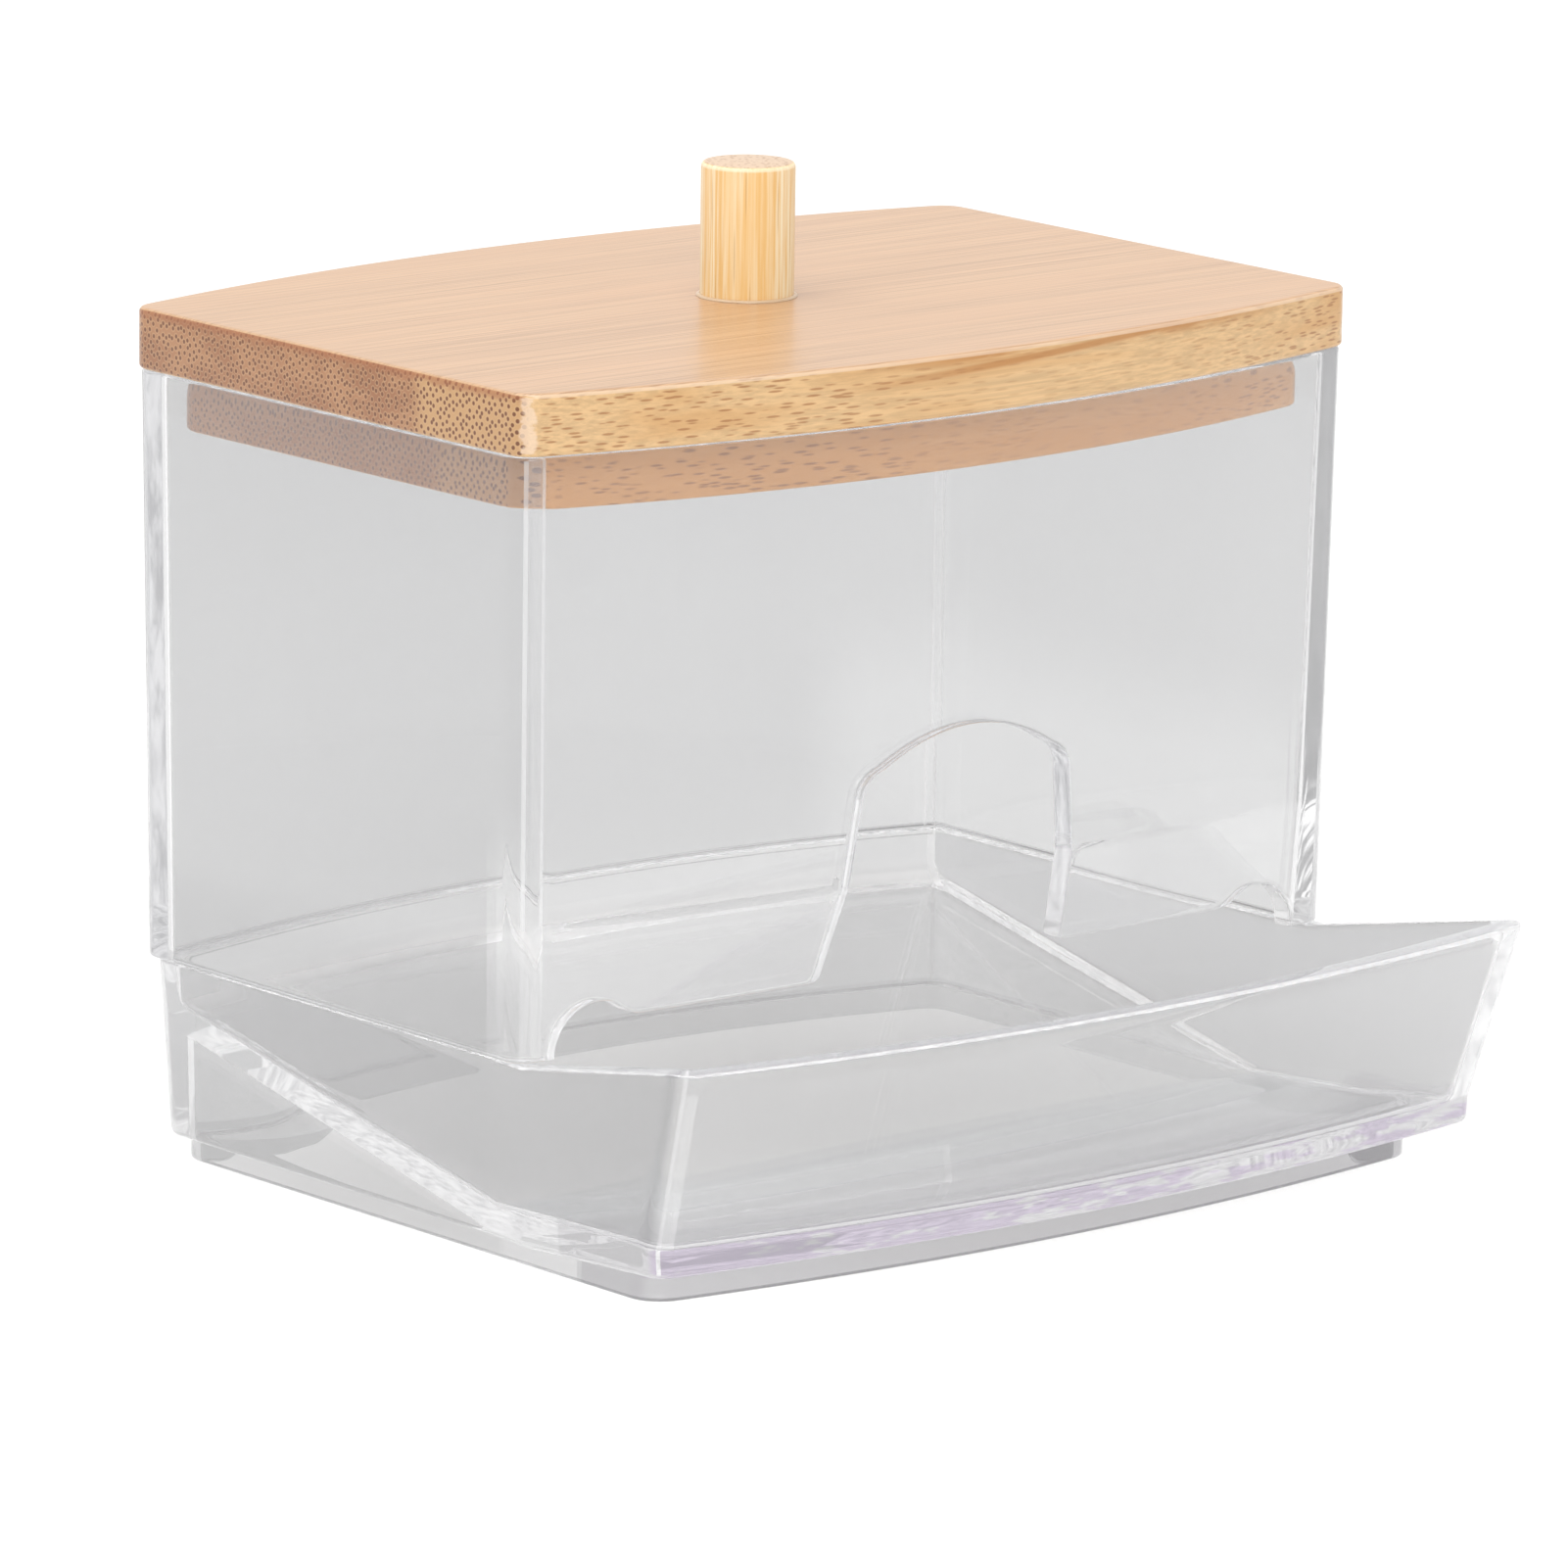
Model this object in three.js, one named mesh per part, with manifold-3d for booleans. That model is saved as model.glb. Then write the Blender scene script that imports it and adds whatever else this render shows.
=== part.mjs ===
// Cotton swab box: a clear moulded base with a ramp and a front tray, a clear four-walled
// hopper bonded on it, and a bamboo lid board with a dowel for a handle.
// Millimetres, +Z up, +X to the right, the tray towards -Y. The origin is the centre of the
// part's footprint, on the surface that it stands on.
import * as THREE from 'three';
import { mergeVertices } from 'three/addons/utils/BufferGeometryUtils.js';
import Module from 'manifold-3d';

// Driving dimensions of the lid board
const lidWidth = 101;
const lidDepth = 58; // along the straight ends, without the bows
const lidBow = 6.8; // how far the front and rear edges swell beyond the ends
const flangeThickness = 5.8;
const plugHeight = 5.5; // the milled step that drops into the hopper's mouth
const lidCornerRadius = 2;
const plugCornerRadius = 3;
const lidEdgeChamfer = 0.4;

// Driving dimensions of the dowel handle
const dowelRadius = 4.45;
const dowelStandout = 12.75; // above the lid
const dowelSeatDepth = 5; // glued into the lid
const dowelEdgeChamfer = 0.5;

// Driving dimensions of the hopper
const hopperHeight = 56.2;
const hopperWall = 2.4;
const hopperDraft = 0.6; // each side is this much narrower at the seam than at the mouth
const hopperCornerRadius = 1.9;
const hopperInnerRadius = 1.4; // inside corners
const chinHeight = 12.4; // the front wall bends inwards below this height
const chinBow = 4; // bow of the front wall where the bend starts
const seamBow = 0; // bow of the front wall down at the seam

// Driving dimensions of the swab opening that is cut in the hopper's front wall
const throatHalfWidth = 45.3;
const throatEdgeHeight = 3.1; // lower edge of the front wall beside the arch, above the seam
const throatHumpHeight = 4.9; // the edge lifts to this beside each leg
const throatHumpInset = 4.8; // from the leg to the top of the hump
const throatHumpWidth = 10; // from the leg to where the edge is level again
const archFootHalfWidth = 14.6;
const archTopHalfWidth = 12.6;
const archShoulderHeight = 22.5;
const archHeight = 26;
const archFootRadius = 1.2;
const archShoulderRadius = 2.4;

// Driving dimensions of the base
const footHeight = 2.2;
const footWidth = 1.2;
const footInset = 1.2; // from the sides and the rear of the base
const footFrontInset = 4.6; // from the front of the base
const footFrontBow = 4;
const footCornerRadius = 3;
const seamHeight = 19.4; // top of the base, where the hopper stands
const seamStep = 0.5; // the base is this much smaller than the hopper all round
const baseDraft = 0.85; // each side is this much narrower at the bottom than at the seam
const baseWall = 2.4;
const floorThickness = 2.5;
const baseCornerRadius = 2.5;
const trayCornerRadius = 1.8;
const baseInnerRadius = 0.9; // inside corners

// Driving dimensions of the ramp and the tray in front of the hopper
const rampRearHeight = 14.4; // top of the ramp at the rear wall
const creaseReach = 22.6; // the ramp meets the floor this far in front of the lid's centre
const creaseBow = 3.7;
const rampFilletRadius = 2.5; // where the ramp turns up into the rear wall
const trayReach = 48.9; // front of the tray at its bottom corners, from the lid's centre
const trayLean = 5.4; // the front wall leans out by this much up to the rim
const trayFloorBow = 4.8;
const trayRimBow = 5.2;
const trayFloorRise = 1.4; // the floor climbs by this much from the crease to the front
const trayRimRise = 4.3; // the rim climbs by this much from the hopper to the front
const trayRimStart = 28.4; // where the climb starts, from the lid's centre
const trayFloorFlare = 1.9; // each side widens by this much towards the front, at the bottom
const trayRimFlare = 2.5; // and by this much at the rim

// Clearances and the overrun of cutting tools
const lidOverhang = 0.2;
const plugClearance = 1.1;
const dowelClearance = 0.15;
const dowelFootGap = 0.3;
const overrun = 2;

// Facet counts
const cornerSteps = 4;
const bowSteps = 20;
const filletSteps = 3;
const dowelSides = 40;

// Colours of the materials
const clearPlastic = { color: 0xdfe2e4, roughness: 0.08, transparent: true, opacity: 0.35 };
const bambooBoard = { color: 0xd2a374, roughness: 0.45 };
const bambooDowel = { color: 0xe2ad62, roughness: 0.45 };

// Heights and reaches that follow from the driving dimensions
const hopperTop = seamHeight + hopperHeight;
const lidTop = hopperTop + flangeThickness;
const trayRimHeight = seamHeight + trayRimRise;
const hopperHalfWidth = lidWidth / 2 - lidOverhang;
const hopperHalfDepth = lidDepth / 2 - lidOverhang;
const baseHalfWidth = hopperHalfWidth - hopperDraft - seamStep;
const baseHalfDepth = hopperHalfDepth - hopperDraft - seamStep;

const wasm = await Module();
wasm.setup();

// A value between two others
function blend(from, to, share) {
  return from + (to - from) * share;
}

// Turns a closed geometry into a solid that can be joined and cut
function solidFrom(geometry) {
  const bare = geometry.clone();
  bare.deleteAttribute('normal');
  bare.deleteAttribute('uv');
  const merged = mergeVertices(bare);
  return new wasm.Manifold(new wasm.Mesh({
    numProp: 3,
    vertProperties: new Float32Array(merged.attributes.position.array),
    triVerts: new Uint32Array(merged.index.array),
  }));
}

// Turns a joined or cut solid back into a flat-shaded geometry
function geometryFrom(solid) {
  const mesh = solid.getMesh();
  const geometry = new THREE.BufferGeometry();
  geometry.setAttribute('position', new THREE.BufferAttribute(mesh.vertProperties, mesh.numProp));
  geometry.setIndex(new THREE.BufferAttribute(mesh.triVerts, 1));
  geometry.computeVertexNormals();
  return geometry;
}

// Stations across the part: round the left corner, along the bow and round the right corner.
// A station is a share of the straight width, from -1 to 1, and a turn round the corner arc.
const stations = [];
for (let step = 0; step < cornerSteps; step++) {
  stations.push({ share: -1, turn: (step / cornerSteps) * (Math.PI / 2) });
}
for (let step = 0; step <= bowSteps; step++) {
  stations.push({ share: (2 * step) / bowSteps - 1, turn: Math.PI / 2 });
}
for (let step = cornerSteps - 1; step >= 0; step--) {
  stations.push({ share: 1, turn: (step / cornerSteps) * (Math.PI / 2) });
}

// Where a station lies across a width, and how far the corner arc draws the edge in there
function acrossAt(station, halfWidth, radius) {
  return station.share * (halfWidth - radius)
    + Math.sign(station.share) * radius * Math.cos(station.turn);
}

function drawnIn(station, radius) {
  return radius * (1 - Math.sin(station.turn));
}

// How far an edge swells beyond its ends at a place across the width
function swell(bow, across, halfWidth) {
  return bow * (1 - (across / halfWidth) ** 2);
}

// A closed solid through stacked layers. Each layer is a grid of points: rows from front to
// rear, and in each row a point for every station. The first layer is the underside.
function stackedSolid(layers) {
  const rowCount = layers[0].length;
  const columnCount = stations.length;
  const positions = layers.flat(3);
  const pointIndex = (layer, row, column) => (layer * rowCount + row) * columnCount + column;
  const triangles = [];
  const addQuad = (a, b, c, d) => triangles.push(a, b, c, a, c, d);
  const lastLayer = layers.length - 1;
  for (let row = 0; row < rowCount - 1; row++) {
    for (let column = 0; column < columnCount - 1; column++) {
      const corners = [[row, column], [row, column + 1], [row + 1, column + 1], [row + 1, column]];
      addQuad(...corners.map(([r, c]) => pointIndex(lastLayer, r, c)));
      addQuad(...corners.reverse().map(([r, c]) => pointIndex(0, r, c)));
    }
  }
  const rim = [];
  for (let column = 0; column < columnCount - 1; column++) {
    rim.push([0, column]);
  }
  for (let row = 0; row < rowCount - 1; row++) {
    rim.push([row, columnCount - 1]);
  }
  for (let column = columnCount - 1; column > 0; column--) {
    rim.push([rowCount - 1, column]);
  }
  for (let row = rowCount - 1; row > 0; row--) {
    rim.push([row, 0]);
  }
  for (let layer = 0; layer < lastLayer; layer++) {
    rim.forEach(([row, column], place) => {
      const [nextRow, nextColumn] = rim[(place + 1) % rim.length];
      addQuad(
        pointIndex(layer, row, column),
        pointIndex(layer, nextRow, nextColumn),
        pointIndex(layer + 1, nextRow, nextColumn),
        pointIndex(layer + 1, row, column),
      );
    });
  }
  const geometry = new THREE.BufferGeometry();
  geometry.setAttribute('position', new THREE.Float32BufferAttribute(positions, 3));
  geometry.setIndex(triangles);
  return solidFrom(geometry);
}

// One layer of two rows: an outline with straight ends, bowed front and rear, round corners
function barrelLayer({ halfWidth, front, rear, frontBow, rearBow, radius, height }) {
  const frontRow = [];
  const rearRow = [];
  for (const station of stations) {
    const x = acrossAt(station, halfWidth, radius);
    const tuck = drawnIn(station, radius);
    frontRow.push([x, tuck - front - swell(frontBow, x, halfWidth), height]);
    rearRow.push([x, rear + swell(rearBow, x, halfWidth) - tuck, height]);
  }
  return [frontRow, rearRow];
}

// An outline drawn in by a distance all round
function inset(outline, distance) {
  return {
    ...outline,
    halfWidth: outline.halfWidth - distance,
    front: outline.front - distance,
    rear: outline.rear - distance,
    radius: outline.radius - distance,
  };
}

// Outline of the hopper's outer face at a height above the seam
function hopperOutline(aboveSeam) {
  const share = aboveSeam / hopperHeight;
  const drawIn = hopperDraft * (1 - share);
  const frontBow = aboveSeam < chinHeight
    ? blend(seamBow, chinBow, aboveSeam / chinHeight)
    : blend(chinBow, lidBow, (aboveSeam - chinHeight) / (hopperHeight - chinHeight));
  return {
    halfWidth: hopperHalfWidth - drawIn,
    front: hopperHalfDepth - drawIn,
    rear: hopperHalfDepth - drawIn,
    frontBow,
    rearBow: lidBow,
    radius: hopperCornerRadius,
    height: seamHeight + aboveSeam,
  };
}

// Half of the swab opening's edge in the front wall, from the leg to the middle of the arch
function throatShape() {
  const levelStart = throatHalfWidth - throatHumpWidth;
  const humpAcross = throatHalfWidth - throatHumpInset;
  const shape = new THREE.Shape();
  const side = (sign) => ({
    leg: [sign * throatHalfWidth, seamHeight],
    legTop: [sign * throatHalfWidth, seamHeight + throatEdgeHeight],
    hump: [sign * humpAcross, seamHeight + throatHumpHeight],
    humpStart: [sign * blend(humpAcross, throatHalfWidth, 1 / 2), seamHeight + throatHumpHeight],
    humpEnd: [sign * blend(humpAcross, levelStart, 1 / 2), seamHeight + throatHumpHeight],
    levelBend: [sign * blend(humpAcross, levelStart, 1 / 2), seamHeight + throatEdgeHeight],
    level: [sign * levelStart, seamHeight + throatEdgeHeight],
    footStart: [sign * (archFootHalfWidth + archFootRadius), seamHeight + throatEdgeHeight],
    foot: [sign * archFootHalfWidth, seamHeight + throatEdgeHeight],
    footEnd: [sign * archFootHalfWidth, seamHeight + throatEdgeHeight + archFootRadius],
    shoulderStart: [sign * archTopHalfWidth, seamHeight + archShoulderHeight - archShoulderRadius],
    shoulder: [sign * archTopHalfWidth, seamHeight + archShoulderHeight],
    shoulderEnd: [
      sign * (archTopHalfWidth - archShoulderRadius),
      seamHeight + archShoulderHeight + archShoulderRadius / 3,
    ],
  });
  const left = side(-1);
  const right = side(1);
  shape.moveTo(-throatHalfWidth, seamHeight - overrun);
  shape.lineTo(...left.leg);
  shape.bezierCurveTo(...left.legTop, ...left.humpStart, ...left.hump);
  shape.bezierCurveTo(...left.humpEnd, ...left.levelBend, ...left.level);
  shape.lineTo(...left.footStart);
  shape.quadraticCurveTo(...left.foot, ...left.footEnd);
  shape.lineTo(...left.shoulderStart);
  shape.quadraticCurveTo(...left.shoulder, ...left.shoulderEnd);
  shape.quadraticCurveTo(0, seamHeight + blend(archShoulderHeight, archHeight, 2), ...right.shoulderEnd);
  shape.quadraticCurveTo(...right.shoulder, ...right.shoulderStart);
  shape.lineTo(...right.footEnd);
  shape.quadraticCurveTo(...right.foot, ...right.footStart);
  shape.lineTo(...right.level);
  shape.bezierCurveTo(...right.levelBend, ...right.humpEnd, ...right.hump);
  shape.bezierCurveTo(...right.humpStart, ...right.legTop, ...right.leg);
  shape.lineTo(throatHalfWidth, seamHeight - overrun);
  return shape;
}

// The swab opening as a cutting tool that passes through the front wall alone
function throatCutter() {
  const front = hopperHalfDepth + lidBow + overrun;
  const back = hopperHalfDepth - hopperWall - hopperDraft - overrun;
  const geometry = new THREE.ExtrudeGeometry(throatShape(), {
    depth: front - back,
    bevelEnabled: false,
    curveSegments: cornerSteps,
  });
  geometry.rotateX(Math.PI / 2);
  geometry.translate(0, -back, 0);
  return solidFrom(geometry);
}

function makeHopper() {
  const heights = [0, chinHeight, hopperHeight];
  const outer = stackedSolid(heights.map((height) => barrelLayer(hopperOutline(height))));
  const innerOutlines = heights.map((height) => ({
    ...inset(hopperOutline(height), hopperWall),
    radius: hopperInnerRadius,
  }));
  const below = { ...innerOutlines[0], height: seamHeight - overrun };
  const above = { ...innerOutlines[innerOutlines.length - 1], height: hopperTop + overrun };
  const inner = stackedSolid([below, ...innerOutlines, above].map(barrelLayer));
  return geometryFrom(outer.subtract(inner).subtract(throatCutter()));
}

// Rows along the base: the front, the start of the rim's climb, the crease, the start of the
// fillet behind the ramp, the steps round it, and the rear
const baseRows = [{ name: 'front' }, { name: 'rimStart' }, { name: 'crease' }];
for (let step = 0; step <= filletSteps; step++) {
  baseRows.push({ name: 'rear', turn: (step / filletSteps) * (Math.PI / 2) });
}

// Heights of the rows on the base's underside, at the floor's front edge and on the rim
const undersideHeight = (row) => footHeight + (row.name === 'front' ? trayFloorRise : 0);
const bandHeight = (row) => undersideHeight(row) + floorThickness;
const rimHeight = (row) => (row.name === 'front' ? trayRimHeight : seamHeight);
const aboveRimHeight = (row) => rimHeight(row) + overrun;

// Height of the floor in front of the crease and of the ramp behind it
function floorHeight(row) {
  const climb = (trayRimStart - creaseReach) / (trayReach - creaseReach);
  if (row.name === 'rimStart') {
    return footHeight + floorThickness + trayFloorRise * climb;
  }
  return row.name === 'rear'
    ? rampRearHeight + rampFilletRadius * (1 - Math.cos(row.turn))
    : bandHeight(row);
}

// One layer of the base, drawn in by a wall's thickness, at a height given for each row. The
// front wall is upright up to the floor's top and leans out above it.
function baseLayer(drawIn, heightOf, rows = baseRows) {
  return rows.map((row) => stations.map((station) => {
    const height = heightOf(row);
    const heightShare = (height - footHeight) / (seamHeight - footHeight);
    const rimShare = (height - footHeight) / (trayRimHeight - footHeight);
    const frontBandHeight = footHeight + trayFloorRise + floorThickness;
    const leanShare = Math.max(height - frontBandHeight, 0) / (trayRimHeight - frontBandHeight);
    const draft = baseDraft * (1 - heightShare);
    const frontReach = trayReach + trayLean * leanShare;
    const radius = row.name === 'rear' ? baseCornerRadius : trayCornerRadius;
    const roundness = Math.max(radius - drawIn, baseInnerRadius);
    const reach = { front: frontReach, rimStart: trayRimStart, crease: creaseReach }[row.name];
    const along = row.name === 'rear' ? 0 : (reach - creaseReach) / (frontReach - creaseReach);
    const flare = along * blend(trayFloorFlare, trayRimFlare, rimShare);
    const halfWidth = baseHalfWidth - draft + flare - drawIn;
    const x = acrossAt(station, halfWidth, roundness);
    const tuck = drawnIn(station, roundness);
    if (row.name === 'front') {
      const bow = blend(trayFloorBow, trayRimBow, leanShare);
      return [x, tuck + drawIn - reach - swell(bow, x, halfWidth), height];
    }
    if (row.name === 'rear') {
      const stepIn = rampFilletRadius * (1 - Math.sin(row.turn));
      const rear = baseHalfDepth - draft - drawIn - stepIn;
      return [x, rear + swell(lidBow, x, halfWidth) - tuck, height];
    }
    return [x, -reach - swell(creaseBow, x, halfWidth), height];
  }));
}

// The hollow under the ramp, open below, with the side and rear walls left round it
function rampHollow() {
  const rows = [baseRows[2], baseRows[baseRows.length - 1]];
  const underRamp = (row) => (row.name === 'rear' ? rampRearHeight - floorThickness : footHeight);
  return stackedSolid([
    baseLayer(baseWall, () => footHeight - overrun, rows),
    baseLayer(baseWall, underRamp, rows),
  ]);
}

// The ring that the base stands on
function footRing() {
  const outline = {
    halfWidth: baseHalfWidth - baseDraft - footInset,
    front: trayReach - footFrontInset,
    rear: baseHalfDepth - baseDraft - footInset,
    frontBow: footFrontBow,
    rearBow: lidBow,
    radius: footCornerRadius,
  };
  const rootDepth = floorThickness / 2;
  const climb = (row) => (row === 0 ? trayFloorRise * (1 - footFrontInset / (trayReach - creaseReach)) : 0);
  const layerAt = (shape, height, follows) => barrelLayer({ ...shape, height })
    .map((points, row) => points.map(([x, y, z]) => [x, y, z + (follows ? climb(row) : 0)]));
  const ring = (shape, low, high) => stackedSolid([layerAt(shape, low, false), layerAt(shape, high, true)]);
  const outside = ring(outline, 0, footHeight + rootDepth);
  const inside = ring(inset(outline, footWidth), -overrun, footHeight + rootDepth + overrun);
  return outside.subtract(inside);
}

function makeBase() {
  const shell = stackedSolid([undersideHeight, bandHeight, rimHeight].map((at) => baseLayer(0, at)));
  const cavity = stackedSolid([floorHeight, aboveRimHeight].map((at) => baseLayer(baseWall, at)));
  return geometryFrom(shell.subtract(rampHollow()).add(footRing()).subtract(cavity));
}

// The lid board in one piece: an upper flange and a milled plug, with a blind hole for the dowel
function makeLid() {
  const flange = {
    halfWidth: lidWidth / 2,
    front: lidDepth / 2,
    rear: lidDepth / 2,
    frontBow: lidBow,
    rearBow: lidBow,
    radius: lidCornerRadius,
  };
  const plugInset = lidOverhang + hopperWall + plugClearance;
  const plug = { ...inset(flange, plugInset), radius: plugCornerRadius };
  const eased = inset(flange, lidEdgeChamfer);
  const flangeSolid = stackedSolid([
    barrelLayer({ ...flange, height: hopperTop }),
    barrelLayer({ ...flange, height: lidTop - lidEdgeChamfer }),
    barrelLayer({ ...eased, height: lidTop }),
  ]);
  const plugSolid = stackedSolid([
    barrelLayer({ ...inset(plug, lidEdgeChamfer), height: hopperTop - plugHeight }),
    barrelLayer({ ...plug, height: hopperTop - plugHeight + lidEdgeChamfer }),
    barrelLayer({ ...plug, height: hopperTop + lidEdgeChamfer }),
  ]);
  const boreDepth = dowelSeatDepth + dowelFootGap;
  const boreRadius = dowelRadius + dowelClearance;
  const bore = new THREE.CylinderGeometry(boreRadius, boreRadius, boreDepth + overrun, dowelSides);
  bore.rotateX(Math.PI / 2);
  bore.translate(0, 0, lidTop - boreDepth + (boreDepth + overrun) / 2);
  return geometryFrom(flangeSolid.add(plugSolid).subtract(solidFrom(bore)));
}

// The dowel, eased at its upper end, standing on the bottom of its seat
function makeDowel() {
  const foot = lidTop - dowelSeatDepth;
  const top = lidTop + dowelStandout;
  const geometry = new THREE.LatheGeometry([
    new THREE.Vector2(0, foot),
    new THREE.Vector2(dowelRadius, foot),
    new THREE.Vector2(dowelRadius, top - dowelEdgeChamfer),
    new THREE.Vector2(dowelRadius - dowelEdgeChamfer, top),
    new THREE.Vector2(0, top),
  ], dowelSides);
  geometry.rotateX(Math.PI / 2);
  return geometryFrom(solidFrom(geometry));
}

const pieces = [
  ['base_tray', makeBase(), clearPlastic],
  ['hopper', makeHopper(), clearPlastic],
  ['lid_board', makeLid(), bambooBoard],
  ['handle_dowel', makeDowel(), bambooDowel],
];

const box = new THREE.Group();
for (const [name, geometry, look] of pieces) {
  const mesh = new THREE.Mesh(geometry, new THREE.MeshStandardMaterial({ ...look, metalness: 0 }));
  mesh.name = name;
  box.add(mesh);
}

// The origin is moved from the lid's centre line to the centre of the footprint
const tray = trayReach + trayLean + trayRimBow;
const back = lidDepth / 2 + lidBow;
box.position.y = (tray - back) / 2;

export default box;
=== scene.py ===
"""Cotton swab box: a clear hopper and tray with a bamboo lid, in a plain white studio.

Lengths are in millimetres. Places are measured from the lid's middle, and heights from the
ground that the foot stands on. The meshes are made in metres in the frame of the CAD model.
"""
from math import cos, hypot, pi, radians, sin

import bmesh
import bpy
from mathutils import Matrix, Vector


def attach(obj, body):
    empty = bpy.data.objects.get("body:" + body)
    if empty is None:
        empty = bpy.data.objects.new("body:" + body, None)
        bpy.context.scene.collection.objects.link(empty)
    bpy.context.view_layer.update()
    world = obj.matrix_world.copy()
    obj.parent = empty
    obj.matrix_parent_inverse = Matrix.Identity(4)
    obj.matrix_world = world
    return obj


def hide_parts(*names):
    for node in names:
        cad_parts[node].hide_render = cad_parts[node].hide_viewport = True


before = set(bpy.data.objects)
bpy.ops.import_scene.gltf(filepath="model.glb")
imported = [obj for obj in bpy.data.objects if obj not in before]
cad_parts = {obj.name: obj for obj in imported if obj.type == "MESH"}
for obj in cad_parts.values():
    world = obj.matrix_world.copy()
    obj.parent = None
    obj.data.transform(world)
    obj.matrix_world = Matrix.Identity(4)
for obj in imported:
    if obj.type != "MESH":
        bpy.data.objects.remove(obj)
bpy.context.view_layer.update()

# Metres in a millimetre, and how far the lid's middle lies behind the footprint's middle
MILLI = 0.001
LID_SHIFT = 11.85

# Lid board
LID_WIDTH = 101
LID_DEPTH = 58
LID_BOW = 6.8
FLANGE_THICKNESS = 5.8
PLUG_HEIGHT = 5.5
LID_CORNER_RADIUS = 2
PLUG_CORNER_RADIUS = 3
FLANGE_EDGE_RADIUS = 0.45
PLUG_EDGE_RADIUS = 0.35
LID_OVERHANG = 0.2
PLUG_CLEARANCE = 1.1

# Dowel
DOWEL_RADIUS = 4.45
DOWEL_STANDOUT = 12.75
DOWEL_SEAT_DEPTH = 5
DOWEL_EDGE_RADIUS = 0.45
DOWEL_CLEARANCE = 0.15
DOWEL_FOOT_GAP = 0.3
BEAD_WIDTH = 0.32
BEAD_HEIGHT = 0.22
BEAD_GAP = 0.02

# Hopper
HOPPER_HEIGHT = 56.2
HOPPER_WALL = 2.4
HOPPER_DRAFT = 0.6
HOPPER_CORNER_RADIUS = 1.9
HOPPER_INNER_RADIUS = 1.4
HOPPER_EDGE_RADIUS = 0.3
CHIN_HEIGHT = 12.4
CHIN_BOW = 4
CHIN_BEND_REACH = 0.35
LEAST_BEND_SHARE = 3
SEAT_GAP = 0.04

# Swab opening in the hopper's front wall
THROAT_HALF_WIDTH = 45.3
THROAT_EDGE_HEIGHT = 3.1
THROAT_HUMP_HEIGHT = 4.9
THROAT_HUMP_INSET = 4.8
THROAT_HUMP_WIDTH = 10
ARCH_FOOT_HALF_WIDTH = 14.6
ARCH_TOP_HALF_WIDTH = 12.6
ARCH_SHOULDER_HEIGHT = 22.5
ARCH_HEIGHT = 26
ARCH_FOOT_RADIUS = 1.2
ARCH_SHOULDER_RADIUS = 2.4
SHOULDER_SLOPE = 3
LEG_SPREAD = 2.3
ARCH_SPREAD = 0.08
SPREAD_POWER = 0.6

# Base
FOOT_HEIGHT = 2.2
FOOT_WIDTH = 1.2
FOOT_INSET = 1.2
FOOT_FRONT_INSET = 4.6
FOOT_FRONT_BOW = 4
FOOT_CORNER_RADIUS = 3
FOOT_EDGE_RADIUS = 0.3
SEAM_HEIGHT = 19.4
SEAM_STEP = 0.5
BASE_DRAFT = 0.85
BASE_WALL = 2.4
FLOOR_THICKNESS = 2.5
BASE_CORNER_RADIUS = 2.5
TRAY_CORNER_RADIUS = 1.8
INNER_CORNER_RADIUS = 0.9
BOTTOM_EDGE_RADIUS = 0.7
RIM_EDGE_RADIUS = 0.4
SIDE_FILLET_RADIUS = 0.9

# Ramp and tray
RAMP_REAR_HEIGHT = 14.4
CREASE_REACH = 22.6
CREASE_BOW = 3.7
RAMP_FILLET_RADIUS = 2.5
TRAY_REACH = 48.9
TRAY_LEAN = 5.4
TRAY_FLOOR_BOW = 4.8
TRAY_RIM_BOW = 5.2
TRAY_FLOOR_RISE = 1.4
TRAY_RIM_RISE = 4.3
TRAY_RIM_START = 28.4
TRAY_FLOOR_FLARE = 1.9
TRAY_RIM_FLARE = 2.5

# Heights and reaches that follow
HOPPER_TOP = SEAM_HEIGHT + HOPPER_HEIGHT
HOPPER_SEAT = SEAM_HEIGHT + SEAT_GAP
LID_TOP = HOPPER_TOP + FLANGE_THICKNESS
TRAY_RIM_HEIGHT = SEAM_HEIGHT + TRAY_RIM_RISE
HOPPER_HALF_WIDTH = LID_WIDTH / 2 - LID_OVERHANG
HOPPER_HALF_DEPTH = LID_DEPTH / 2 - LID_OVERHANG
BASE_HALF_WIDTH = HOPPER_HALF_WIDTH - HOPPER_DRAFT - SEAM_STEP
BASE_HALF_DEPTH = HOPPER_HALF_DEPTH - HOPPER_DRAFT - SEAM_STEP

# Painted highlight lines down the corners, as shares of the corner's turn
OUTER_LINE = (0.5, 0.6)
INNER_LINE = (0.9, 0.99)

# Steps of the meshes round each curve; the opening's edge has several curves
CORNER_STEPS = 8
BOW_STEPS = 56
ARC_STEPS = 4
DOWEL_SIDES = 96
FOOT_STEPS = 3
THROAT_STEPS = (24, 14, 20, 8, 16, 10)
CROWN_STEPS = 12

# Where rows of points lie on the walls, as shares of the way up
LOW_ROW_SHARES = (0.04, 0.2, 0.45, 0.7, 0.93)
HIGH_ROW_SHARES = (0.03, 0.1, 0.2, 0.32, 0.45, 0.6, 0.75, 0.88, 0.97)
BAND_SHARES = (0.5, 0.85, 1, 1.15)
OUTER_WALL_SHARES = (0.1, 0.3, 0.5, 0.7, 0.9)
INNER_WALL_SHARES = (0.12, 0.35, 0.6, 0.85)

# Degrees at which an edge stays sharp
SMOOTH_ANGLE = 35
HOPPER_SMOOTH_ANGLE = 50

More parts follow.
